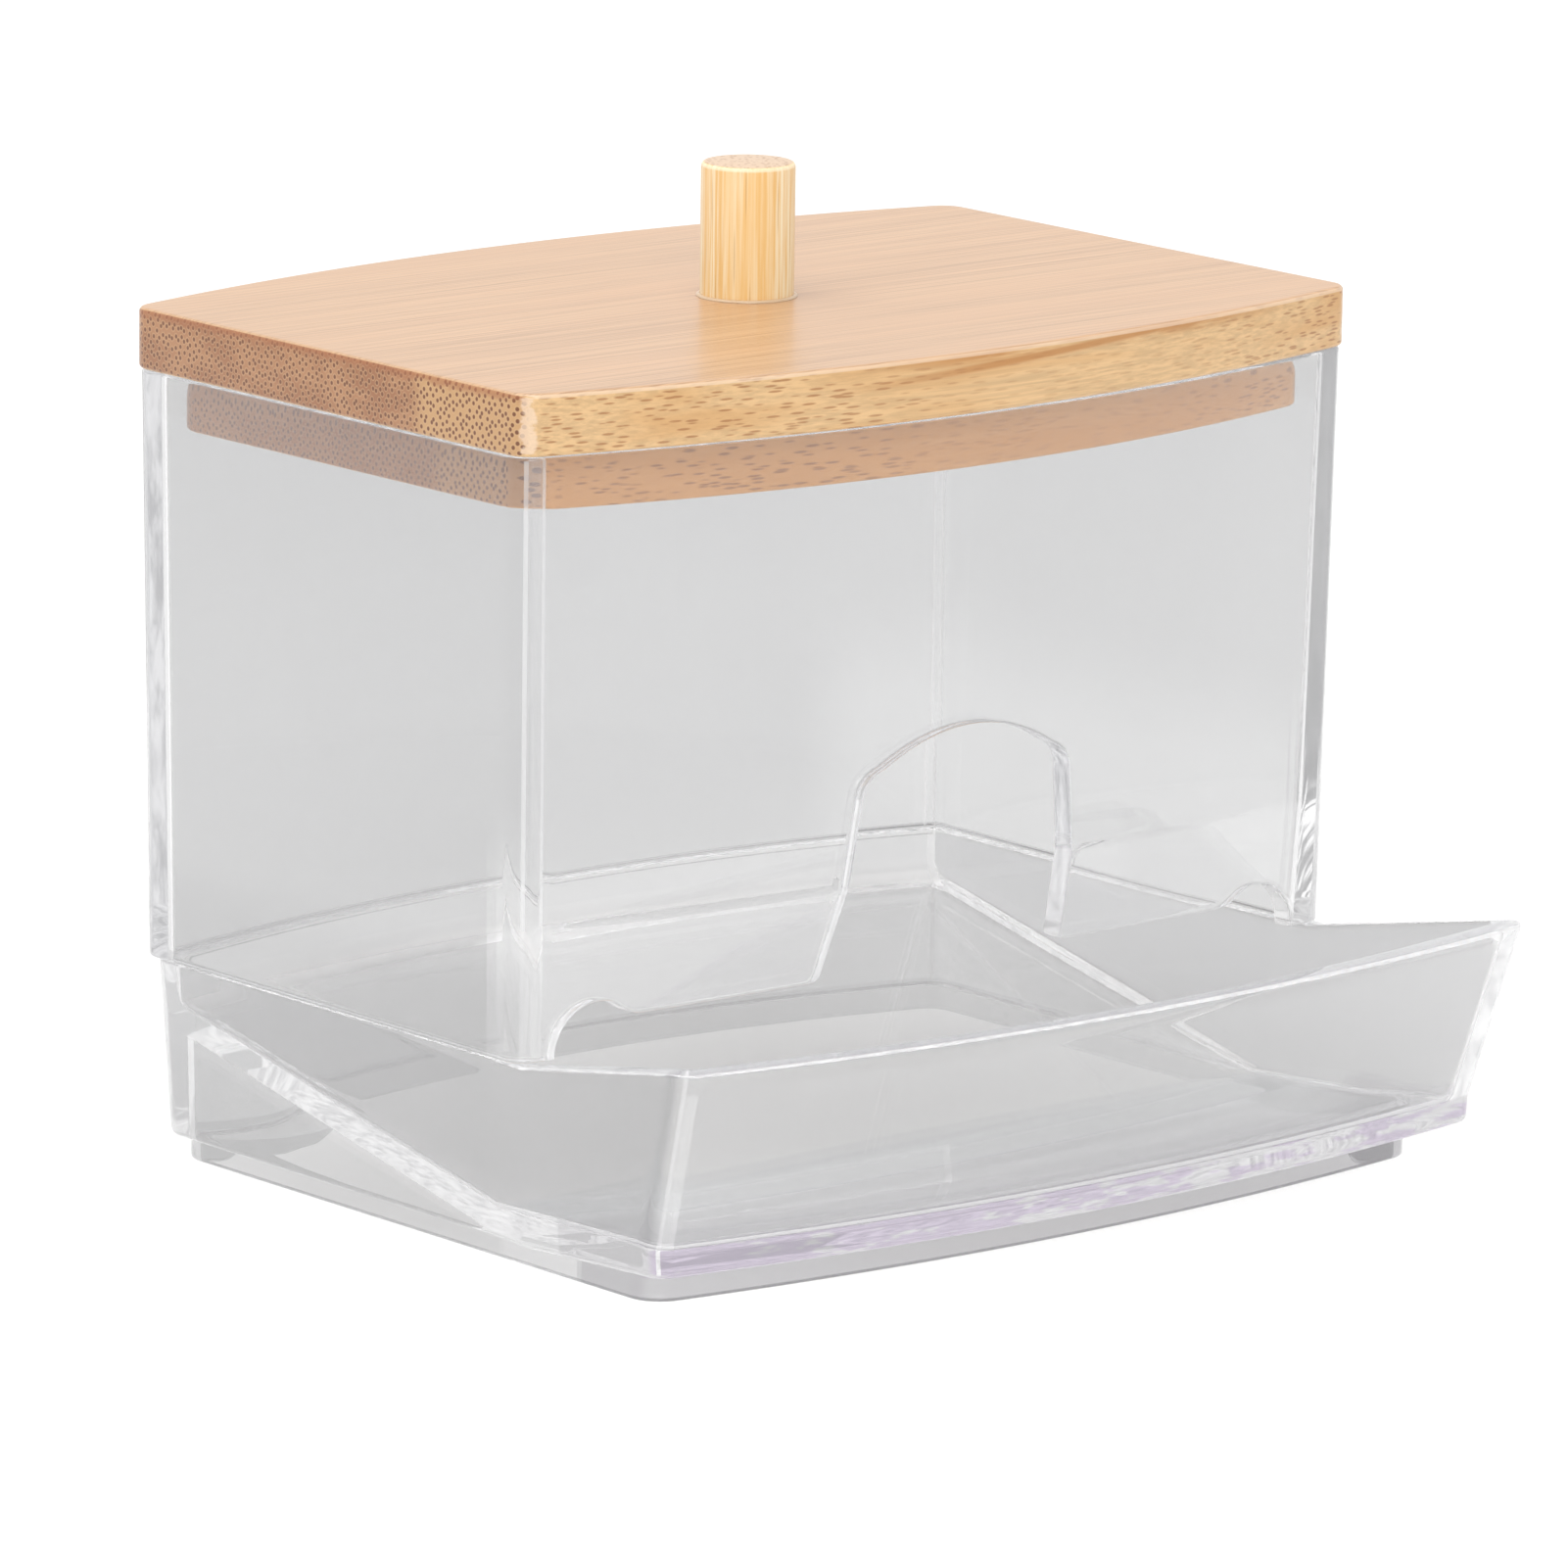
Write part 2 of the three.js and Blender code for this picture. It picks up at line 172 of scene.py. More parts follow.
# Camera: its azimuth, elevation and roll round the lid's middle, and how far it is then set
# back, moved across and moved up
CAMERA_TURNS = (-40.31, 12.14, 0.79)
CAMERA_MOVES = (1102.65, 4.14, -45.93)
CAMERA_LENS = 269.2
CAMERA_SENSOR = 36


def blend(start, end, share):
    """A value between two others."""
    return start + (end - start) * share


def blend_points(start, end, share):
    """A point between two others."""
    return tuple(blend(a, b, share) for a, b in zip(start, end))


def swell(bow, across, half_width):
    """How far a bowed edge stands beyond its ends at a place across the width."""
    return bow * (1 - (across / half_width) ** 2)


def rounding(radius, steps=ARC_STEPS):
    """A quarter circle's points: how far each lies from the one face and from the other."""
    turns = [step / steps * pi / 2 for step in range(steps + 1)]
    return [(radius * (1 - sin(turn)), radius * (1 - cos(turn))) for turn in turns]


def new_object(name, data):
    made = bpy.data.objects.new(name, data)
    bpy.context.scene.collection.objects.link(made)
    return made


def make_object(name, points, faces, smooth_angle=SMOOTH_ANGLE, edges=()):
    """A mesh object in metres from points in millimetres round the lid's middle. The faces
    numbered in edges take the second material."""
    mesh = bpy.data.meshes.new(name)
    placed = [Vector((x, y + LID_SHIFT, z)) * MILLI for x, y, z in points]
    mesh.from_pydata(placed, [], faces)
    for face in edges:
        mesh.polygons[face].material_index = 1
    work = bmesh.new()
    work.from_mesh(mesh)
    bmesh.ops.recalc_face_normals(work, faces=work.faces)
    work.to_mesh(mesh)
    work.free()
    mesh.shade_smooth()
    mesh.set_sharp_from_angle(angle=radians(smooth_angle))
    return new_object(name, mesh)


# Stations across the part: round one corner, along the bow and round the other corner
CORNER_TURNS = [step / CORNER_STEPS * pi / 2 for step in range(CORNER_STEPS)]
STATIONS = (
    [(-1, turn) for turn in CORNER_TURNS]
    + [(2 * step / BOW_STEPS - 1, pi / 2) for step in range(BOW_STEPS + 1)]
    + [(1, turn) for turn in reversed(CORNER_TURNS)]
)


def across_at(station, half_width, radius):
    """Where a station lies across a width."""
    share, turn = station
    return share * (half_width - radius) + ((share > 0) - (share < 0)) * radius * cos(turn)


def edge_at(station, half_width, reach, bow, radius):
    """A place on a bowed edge with rounded corners: across, and out from the middle."""
    x = across_at(station, half_width, radius)
    return x, reach + swell(bow, x, half_width) - radius * (1 - sin(station[1]))


def grid_rim(rows, columns):
    """Places round the rim of a grid, front row first, anticlockwise from above."""
    rim = [(0, column) for column in range(columns - 1)]
    rim += [(row, columns - 1) for row in range(rows - 1)]
    rim += [(rows - 1, column) for column in range(columns - 1, 0, -1)]
    rim += [(row, 0) for row in range(rows - 1, 0, -1)]
    return rim


def add_points(points, more):
    """Adds points to a list and gives their numbers in it."""
    points.extend(more)
    return list(range(len(points) - len(more), len(points)))


def band(lower, upper):
    """Faces between two rings of point numbers. A ring may be a single point."""
    made = []
    for place in range(max(len(lower), len(upper))):
        following = place + 1
        corners = ((lower, place), (lower, following), (upper, following), (upper, place))
        made.append(tuple(dict.fromkeys(ring[at % len(ring)] for ring, at in corners)))
    return made


def tub(name, layers, is_edge=None):
    """A closed mesh from grids: the first and the last whole, and the rims of those between. A
    face up to a layer's rim takes the second material where is_edge(layer, place, next) holds."""
    points = []
    faces = []
    edges = []
    rows, columns = len(layers[0]), len(layers[0][0])
    rim = grid_rim(rows, columns)

    def add_grid(grid):
        start = add_points(points, [point for row in grid for point in row])[0]
        for row in range(rows - 1):
            for column in range(columns - 1):
                corner = start + row * columns + column
                faces.append((corner, corner + 1, corner + columns + 1, corner + columns))
        return [start + row * columns + column for row, column in rim]

    lower = add_grid(layers[0])
    for number, grid in enumerate(layers[1:], 1):
        if number < len(layers) - 1:
            upper = add_points(points, [grid[row][column] for row, column in rim])
        else:
            upper = add_grid(grid)
        for place, face in enumerate(band(lower, upper)):
            if is_edge and is_edge(number, rim[place], rim[(place + 1) % len(rim)]):
                edges.append(len(faces))
            faces.append(face)
        lower = upper
    return make_object(name, points, faces, edges=edges)


# Lid board


def board_layer(draw_in, radius, height):
    """Points along the board's front and rear edges, drawn in all round, at a height."""
    size = (LID_WIDTH / 2 - draw_in, LID_DEPTH / 2 - draw_in)
    edge = [edge_at(station, *size, LID_BOW, radius) for station in STATIONS]
    return [[(x, end * y, height) for x, y in edge] for end in (-1, 1)]


def make_lid():
    """The flange and the milled plug below it in one board, with the dowel's hole."""
    plug_in = LID_OVERHANG + HOPPER_WALL + PLUG_CLEARANCE
    plug_bottom = HOPPER_TOP - PLUG_HEIGHT
    edge = FLANGE_EDGE_RADIUS
    layers = [(plug_in + 2 * PLUG_EDGE_RADIUS, PLUG_CORNER_RADIUS - PLUG_EDGE_RADIUS, plug_bottom)]
    layers += [(plug_in + back, PLUG_CORNER_RADIUS - back, plug_bottom + up)
               for back, up in rounding(PLUG_EDGE_RADIUS)]
    layers.append((plug_in, PLUG_CORNER_RADIUS, HOPPER_TOP))
    layers += [(back, LID_CORNER_RADIUS - back, HOPPER_TOP + up) for back, up in rounding(edge)]
    layers += [(back, LID_CORNER_RADIUS - back, LID_TOP - down) for down, back in rounding(edge)]
    layers.append((2 * edge, LID_CORNER_RADIUS - edge, LID_TOP))
    board = tub("bamboo_lid", [board_layer(*layer) for layer in layers])

    depth = DOWEL_SEAT_DEPTH + DOWEL_FOOT_GAP
    radius = DOWEL_RADIUS + DOWEL_CLEARANCE
    low, high = LID_TOP - depth, LID_TOP + depth
    bore = make_turned("bore_tool", [(0, low), (radius, low), (radius, high), (0, high)])
    cut = board.modifiers.new("dowel_hole", "BOOLEAN")
    cut.operation = "DIFFERENCE"
    cut.solver = "EXACT"
    cut.object = bore
    bpy.context.view_layer.update()
    shaped = bpy.data.meshes.new_from_object(board.evaluated_get(bpy.context.evaluated_depsgraph_get()))
    board.modifiers.clear()
    board.data = shaped
    shaped.set_sharp_from_angle(angle=radians(SMOOTH_ANGLE))
    bpy.data.objects.remove(bore)
    return board


def make_turned(name, profile, closed=False):
    """A solid turned about the lid's upright middle line from (radius, height) points. A closed
    profile is a ring that stays clear of the middle line."""
    points = []
    rings = []
    turns = [side / DOWEL_SIDES * 2 * pi for side in range(DOWEL_SIDES)]
    for radius, height in profile:
        ring = [(radius * cos(turn), radius * sin(turn), height) for turn in turns]
        rings.append(add_points(points, ring if radius else [(0, 0, height)]))
    if closed:
        rings.append(rings[0])
    faces = [face for lower, upper in zip(rings, rings[1:]) for face in band(lower, upper)]
    return make_object(name, points, faces)


def make_dowel():
    """The dowel with its upper edge rounded over."""
    foot = LID_TOP - DOWEL_SEAT_DEPTH
    top = LID_TOP + DOWEL_STANDOUT
    edge = [(DOWEL_RADIUS - back, top - down) for down, back in rounding(DOWEL_EDGE_RADIUS)]
    return make_turned("bamboo_dowel_handle", [(0, foot), (DOWEL_RADIUS, foot)] + edge + [(0, top)])


def make_bead():
    """The low bead of glue round the dowel's foot."""
    inner = DOWEL_RADIUS + BEAD_GAP
    low = LID_TOP + BEAD_GAP
    profile = [(inner, low)]
    for rise, back in rounding(1):
        profile.append((inner + BEAD_WIDTH * (1 - back), low + BEAD_HEIGHT * (1 - rise)))
    return make_turned("glue_bead", profile, closed=True)


# Hopper


def hopper_sizes(height):
    """Half width, half depth and front bow of the hopper's outer face at a height."""
    above_seam = height - SEAM_HEIGHT
    narrowing = HOPPER_DRAFT * (1 - above_seam / HOPPER_HEIGHT)
    if above_seam < CHIN_HEIGHT:
        bow = CHIN_BOW * above_seam / CHIN_HEIGHT
    else:
        bow = blend(CHIN_BOW, LID_BOW, (above_seam - CHIN_HEIGHT) / (HOPPER_HEIGHT - CHIN_HEIGHT))
    return HOPPER_HALF_WIDTH - narrowing, HOPPER_HALF_DEPTH - narrowing, bow


def front_wall_point(x, height, wall_share):
    """A point in the front wall, from its outer face at 0 to its inner face at 1."""
    half_width, half_depth, bow = hopper_sizes(height)
    outer = half_depth + swell(bow, x, half_width)
    inner = half_depth - HOPPER_WALL + swell(bow, x, half_width - HOPPER_WALL)
    return x, -blend(outer, inner, wall_share), height


def bezier(points, steps):
    """Points along a Bezier curve, without its start."""
    made = []
    for step in range(1, steps + 1):
        share = step / steps
        level = list(points)
        while len(level) > 1:
            level = [blend_points(a, b, share) for a, b in zip(level, level[1:])]
        made.append(level[0])
    return made


def throat_edge():
    """Half of the opening's edge, from the leg on the right to the top of the arch."""
    level_start = THROAT_HALF_WIDTH - THROAT_HUMP_WIDTH
    hump = THROAT_HALF_WIDTH - THROAT_HUMP_INSET
    low = SEAM_HEIGHT + THROAT_EDGE_HEIGHT
    high = SEAM_HEIGHT + THROAT_HUMP_HEIGHT
    shoulder = SEAM_HEIGHT + ARCH_SHOULDER_HEIGHT
    mid_out = (hump + THROAT_HALF_WIDTH) / 2
    mid_in = (hump + level_start) / 2
    shoulder_start = (ARCH_TOP_HALF_WIDTH, shoulder - ARCH_SHOULDER_RADIUS)
    fall = ARCH_SHOULDER_RADIUS / SHOULDER_SLOPE
    shoulder_end = (ARCH_TOP_HALF_WIDTH - ARCH_SHOULDER_RADIUS, shoulder + fall)
    crown = (0, blend(shoulder, SEAM_HEIGHT + ARCH_HEIGHT, 2))
    edge = [(THROAT_HALF_WIDTH, SEAM_HEIGHT)]
    curves = (
        ((THROAT_HALF_WIDTH, low), (mid_out, high), (hump, high)),
        ((mid_in, high), (mid_in, low), (level_start, low)),
        ((ARCH_FOOT_HALF_WIDTH + ARCH_FOOT_RADIUS, low),),
        ((ARCH_FOOT_HALF_WIDTH, low), (ARCH_FOOT_HALF_WIDTH, low + ARCH_FOOT_RADIUS)),
        (shoulder_start,),
        ((ARCH_TOP_HALF_WIDTH, shoulder), shoulder_end),
    )
    for steps, corners in zip(THROAT_STEPS, curves):
        edge += bezier([edge[-1], *corners], steps)
    whole_crown = bezier([shoulder_end, crown, (-shoulder_end[0], shoulder_end[1])], 2 * CROWN_STEPS)
    return edge + whole_crown[:CROWN_STEPS]


def throat_columns():
    """The columns along the opening's edge, which spread out on their way up."""
    half = throat_edge()
    edge = half + [(-x, height) for x, height in reversed(half[:-1])]
    lengths = [0]
    for (ax, az), (bx, bz) in zip(edge, edge[1:]):
        lengths.append(lengths[-1] + hypot(bx - ax, bz - az))
    loops = []
    for place, point in enumerate(edge):
        before = edge[max(place - 1, 0)]
        after = edge[min(place + 1, len(edge) - 1)]
        along = (after[0] - before[0], after[1] - before[1])
        length = hypot(*along)
        inward = (along[1] / length, -along[0] / length)
        turn = 1 - 2 * lengths[place] / lengths[-1]
        top_x = (THROAT_HALF_WIDTH + LEG_SPREAD) * turn * (1 + ARCH_SPREAD * (1 - turn ** 2))
        loops.append(throat_column(point, inward, top_x))
    return loops


def upright_rows(start):
    """Heights from the start of a column to the rounding of the mouth's rim."""
    chin = SEAM_HEIGHT + CHIN_HEIGHT
    bend = max(chin, start + LEAST_BEND_SHARE * CHIN_BEND_REACH)
    low, high = bend - CHIN_BEND_REACH, bend + CHIN_BEND_REACH
    top = HOPPER_TOP - SEAT_GAP - HOPPER_EDGE_RADIUS
    rows = [start] + [blend(start, low, share) for share in LOW_ROW_SHARES] + [low, bend, high]
    return rows + [blend(high, top, share) for share in HIGH_ROW_SHARES] + [top]


def column_loop(start, at, up_at):
    """The closed loop of points over one column: outside, rim, inside and lower edge. It takes
    points of the wall from at, by offset from the lower edge, and from up_at, by height."""
    heights = upright_rows(start)
    top = HOPPER_TOP - SEAT_GAP
    edge = rounding(HOPPER_EDGE_RADIUS)[1:]
    loop = [up_at(height, 0) for height in heights]
    loop += [up_at(top - down, back / HOPPER_WALL) for down, back in edge]
    loop += [up_at(top - down, 1 - back / HOPPER_WALL) for back, down in edge]
    loop += [up_at(height, 1) for height in reversed(heights[:-1])]
    loop += [at(up, 1 - back / HOPPER_WALL) for up, back in edge]
    loop += [at(up, back / HOPPER_WALL) for back, up in edge[:-1]]
    return loop


def throat_column(point, inward, top_x):
    """A column of the front wall over a point of the opening's edge."""

    def at(offset, wall_share):
        height = max(point[1] + inward[1] * offset, HOPPER_SEAT)
        return front_wall_point(point[0] + inward[0] * offset, height, wall_share)

    start_x, _, start = at(HOPPER_EDGE_RADIUS, 0)

    def up_at(height, wall_share):
        share = (max(height - start, 0) / (HOPPER_TOP - start)) ** SPREAD_POWER
        return front_wall_point(blend(start_x, top_x, share), height, wall_share)

    return column_loop(start, at, up_at)


def wall_column(station, end):
    """A column of the corners and the other walls. The end is -1 at the front, 1 at the rear."""

    def up_at(height, wall_share):
        half_width, half_depth, front_bow = hopper_sizes(height)
        bow = front_bow if end < 0 else LID_BOW
        both = []
        for inset, radius in ((0, HOPPER_CORNER_RADIUS), (HOPPER_WALL, HOPPER_INNER_RADIUS)):
            x, y = edge_at(station, half_width - inset, half_depth - inset, bow, radius)
            both.append((x, end * y, height))
        return blend_points(*both, wall_share)

    def at(offset, wall_share):
        return up_at(HOPPER_SEAT + offset, wall_share)

    return column_loop(HOPPER_SEAT + HOPPER_EDGE_RADIUS, at, up_at)


def make_hopper():
    """The sleeve of four walls with the arched opening."""
    front_turns = [*CORNER_TURNS, pi / 2]
    walls = [((-1, turn), -1) for turn in reversed(front_turns)]
    walls += [(station, 1) for station in STATIONS]
    walls += [((1, turn), -1) for turn in front_turns]
    columns = throat_columns()
    turns = [pi / 2] * len(columns) + [station[1] for station, _ in walls]
    columns += [wall_column(*wall) for wall in walls]
    points = []
    loops = [add_points(points, column) for column in columns]
    rows = len(upright_rows(SEAM_HEIGHT)) - 1
    inner_start = rows + 2 * ARC_STEPS
    faces = []
    edges = []
    for place, loop in enumerate(loops):
        following = (place + 1) % len(loops)
        middle = (turns[place] + turns[following]) / pi
        on_outer = OUTER_LINE[0] < middle < OUTER_LINE[1]
        on_inner = INNER_LINE[0] < middle < INNER_LINE[1]
        for step, face in enumerate(band(loop, loops[following])):
            if on_outer and step < rows or on_inner and inner_start <= step < inner_start + rows:
                edges.append(len(faces))
            faces.append(face)
    return make_object("clear_hopper", points, faces, HOPPER_SMOOTH_ANGLE, edges)


# Base with its tray

# The CAD model's rows from the front to the rear, and the shares of the way from each to the
# next at which the mesh has its rows
MAIN_ROWS = ("front", "rim_start", "crease", "rear")
ROW_SHARES = (
    (0, 0.03, 0.12, 0.25, 0.4, 0.55, 0.7, 0.85, 0.96),
    (0, 0.25, 0.5, 0.75, 0.93),
    (0, 0.02, 0.08, 0.2, 0.35, 0.5, 0.65, 0.8, 0.92, 0.98, 1),
)
BASE_ROWS = [(start, end, share)
             for start, end, shares in zip(MAIN_ROWS, MAIN_ROWS[1:], ROW_SHARES) for share in shares]


def base_point(row, station, inset_across, inset_along, radius, height):
    """A point of the base on one of its main rows, drawn in from the outer face."""
    height_share = (height - FOOT_HEIGHT) / (SEAM_HEIGHT - FOOT_HEIGHT)
    rim_share = (height - FOOT_HEIGHT) / (TRAY_RIM_HEIGHT - FOOT_HEIGHT)
    band_height = FOOT_HEIGHT + TRAY_FLOOR_RISE + FLOOR_THICKNESS
    lean_share = max(height - band_height, 0) / (TRAY_RIM_HEIGHT - band_height)
    narrowing = BASE_DRAFT * (1 - height_share)
    front_reach = TRAY_REACH + TRAY_LEAN * lean_share
    reach = {"front": front_reach, "rim_start": TRAY_RIM_START, "crease": CREASE_REACH, "rear": 0}[row]
    along = 0 if row == "rear" else (reach - CREASE_REACH) / (front_reach - CREASE_REACH)
    flare = along * blend(TRAY_FLOOR_FLARE, TRAY_RIM_FLARE, rim_share)
    half_width = BASE_HALF_WIDTH - narrowing + flare - inset_across
    if row == "front":
        bow = blend(TRAY_FLOOR_BOW, TRAY_RIM_BOW, lean_share)
        x, y = edge_at(station, half_width, reach - inset_along, bow, radius)
        return x, -y, height
    if row == "rear":
        reach = BASE_HALF_DEPTH - narrowing - inset_along
        return *edge_at(station, half_width, reach, LID_BOW, radius), height
    x = across_at(station, half_width, radius)
    return x, -reach - swell(CREASE_BOW, x, half_width), height


def base_layer(point_of):
    """All rows of a layer of the base, from a function that gives the points of its main rows."""
    mains = {row: [point_of(row, station) for station in STATIONS] for row in MAIN_ROWS}
    return [[blend_points(a, b, share) for a, b in zip(mains[start], mains[end])]
            for start, end, share in BASE_ROWS]


def base_grid(inset, heights, inner=False, fillets=(0, 0, 0), rise=0):
    """A layer of the base over all rows and stations. Fillets widen the inset at each edge."""
    side, front, rear = fillets

    def point_of(row, station):
        outer_radius = BASE_CORNER_RADIUS if row == "rear" else TRAY_CORNER_RADIUS
        radius = INNER_CORNER_RADIUS if inner else max(outer_radius - inset, INNER_CORNER_RADIUS)
        along = {"front": front, "rear": rear}.get(row, 0)
        turned = sin(station[1]) ** 2 if row == "rear" else 0
        lift = rise * blend(SIDE_FILLET_RADIUS, RAMP_FILLET_RADIUS, turned)
        return base_point(row, station, inset + side, inset + along, radius, heights[row] + lift)

    return base_layer(point_of)


def foot_grid(inset, heights, radius):
    """A layer of the foot ring over all rows and stations."""
    half_width = BASE_HALF_WIDTH - BASE_DRAFT - inset
    front_reach = TRAY_REACH - FOOT_FRONT_INSET - (inset - FOOT_INSET)
    rear_reach = BASE_HALF_DEPTH - BASE_DRAFT - inset

    def point_of(row, station):
        if row == "rear":
            return *edge_at(station, half_width, rear_reach, LID_BOW, radius), heights[row]
        if row == "front":
            x, y = edge_at(station, half_width, front_reach, FOOT_FRONT_BOW, radius)
        else:
            x = across_at(station, half_width, radius)
            y = {"rim_start": TRAY_RIM_START, "crease": CREASE_REACH}[row] + swell(CREASE_BOW, x, half_width)
        return x, -y, heights[row]

    return base_layer(point_of)


def lifted(heights, lift):
    """Heights a little above others on every main row."""
    return {row: heights[row] + lift for row in MAIN_ROWS}


def part_way(lower, upper, share):
    """Heights between two others on every main row."""
    return {row: blend(lower[row], upper[row], share) for row in MAIN_ROWS}


def make_base():
    """The base in one closed mesh: under the floor, over the foot ring, up the walls, over the
    rim, down inside and across the floor and the ramp."""
    ground = dict.fromkeys(MAIN_ROWS, 0)
    level = dict.fromkeys(MAIN_ROWS, FOOT_HEIGHT)
    underside = level | {"front": FOOT_HEIGHT + TRAY_FLOOR_RISE}
    floor_height = FOOT_HEIGHT + FLOOR_THICKNESS
    band_top = lifted(underside, FLOOR_THICKNESS)
    rim_top = dict.fromkeys(MAIN_ROWS, SEAM_HEIGHT - SEAT_GAP) | {"front": TRAY_RIM_HEIGHT}
    climb = (TRAY_RIM_START - CREASE_REACH) / (TRAY_REACH - CREASE_REACH)
    floor_top = band_top | {"rim_start": floor_height + TRAY_FLOOR_RISE * climb, "rear": RAMP_REAR_HEIGHT}
    climb = 1 - FOOT_FRONT_INSET / (TRAY_REACH - CREASE_REACH)
    foot_root = level | {"front": FOOT_HEIGHT + TRAY_FLOOR_RISE * climb}
    under_floor = foot_root | {"rear": RAMP_REAR_HEIGHT - FLOOR_THICKNESS}

    inset = FOOT_INSET + FOOT_WIDTH
    radius = FOOT_CORNER_RADIUS - FOOT_WIDTH
    layers = [foot_grid(inset, under_floor, radius)]

    def add(*layer, **more):
        layers.append(base_grid(*layer, **more))

    for drop, back in rounding(FOOT_EDGE_RADIUS, FOOT_STEPS):
        layers.append(foot_grid(inset - back, lifted(ground, drop), radius + back))
    for back, lift in rounding(FOOT_EDGE_RADIUS, FOOT_STEPS):
        layers.append(foot_grid(FOOT_INSET + back, lifted(ground, lift), FOOT_CORNER_RADIUS - back))
    layers.append(foot_grid(FOOT_INSET, foot_root, FOOT_CORNER_RADIUS))
    for back, lift in rounding(BOTTOM_EDGE_RADIUS):
        add(back, lifted(underside, lift))
    outer_start = len(layers) - 1
    for share in BAND_SHARES:
        add(0, part_way(underside, band_top, share))
    for share in OUTER_WALL_SHARES:
        add(0, part_way(band_top, rim_top, share))
    for drop, back in rounding(RIM_EDGE_RADIUS):
        add(back, lifted(rim_top, -drop))
    for back, drop in rounding(RIM_EDGE_RADIUS):
        add(BASE_WALL - back, lifted(rim_top, -drop), inner=True)
    inner_start = len(layers)
    for share in INNER_WALL_SHARES:
        add(BASE_WALL, part_way(rim_top, floor_top, share), inner=True, rise=share)
    reaches = (SIDE_FILLET_RADIUS, SIDE_FILLET_RADIUS, RAMP_FILLET_RADIUS)
    for away, up in reversed(rounding(1)):
        add(BASE_WALL, floor_top, inner=True, fillets=[away * reach for reach in reaches], rise=up)
    add(BASE_WALL, floor_top, inner=True, fillets=[reach + RIM_EDGE_RADIUS for reach in reaches])

    def is_edge(number, here, following):
        if number < outer_start or here[0] != following[0]:
            return False
        middle = (STATIONS[here[1]][1] + STATIONS[following[1]][1]) / pi
        return OUTER_LINE[0] < middle < (1 if number > inner_start else OUTER_LINE[1])

    return tub("clear_base", layers, is_edge)


# Materials

# Roughness of noise and scatter of dots where nothing else is said
EVEN = 0.5


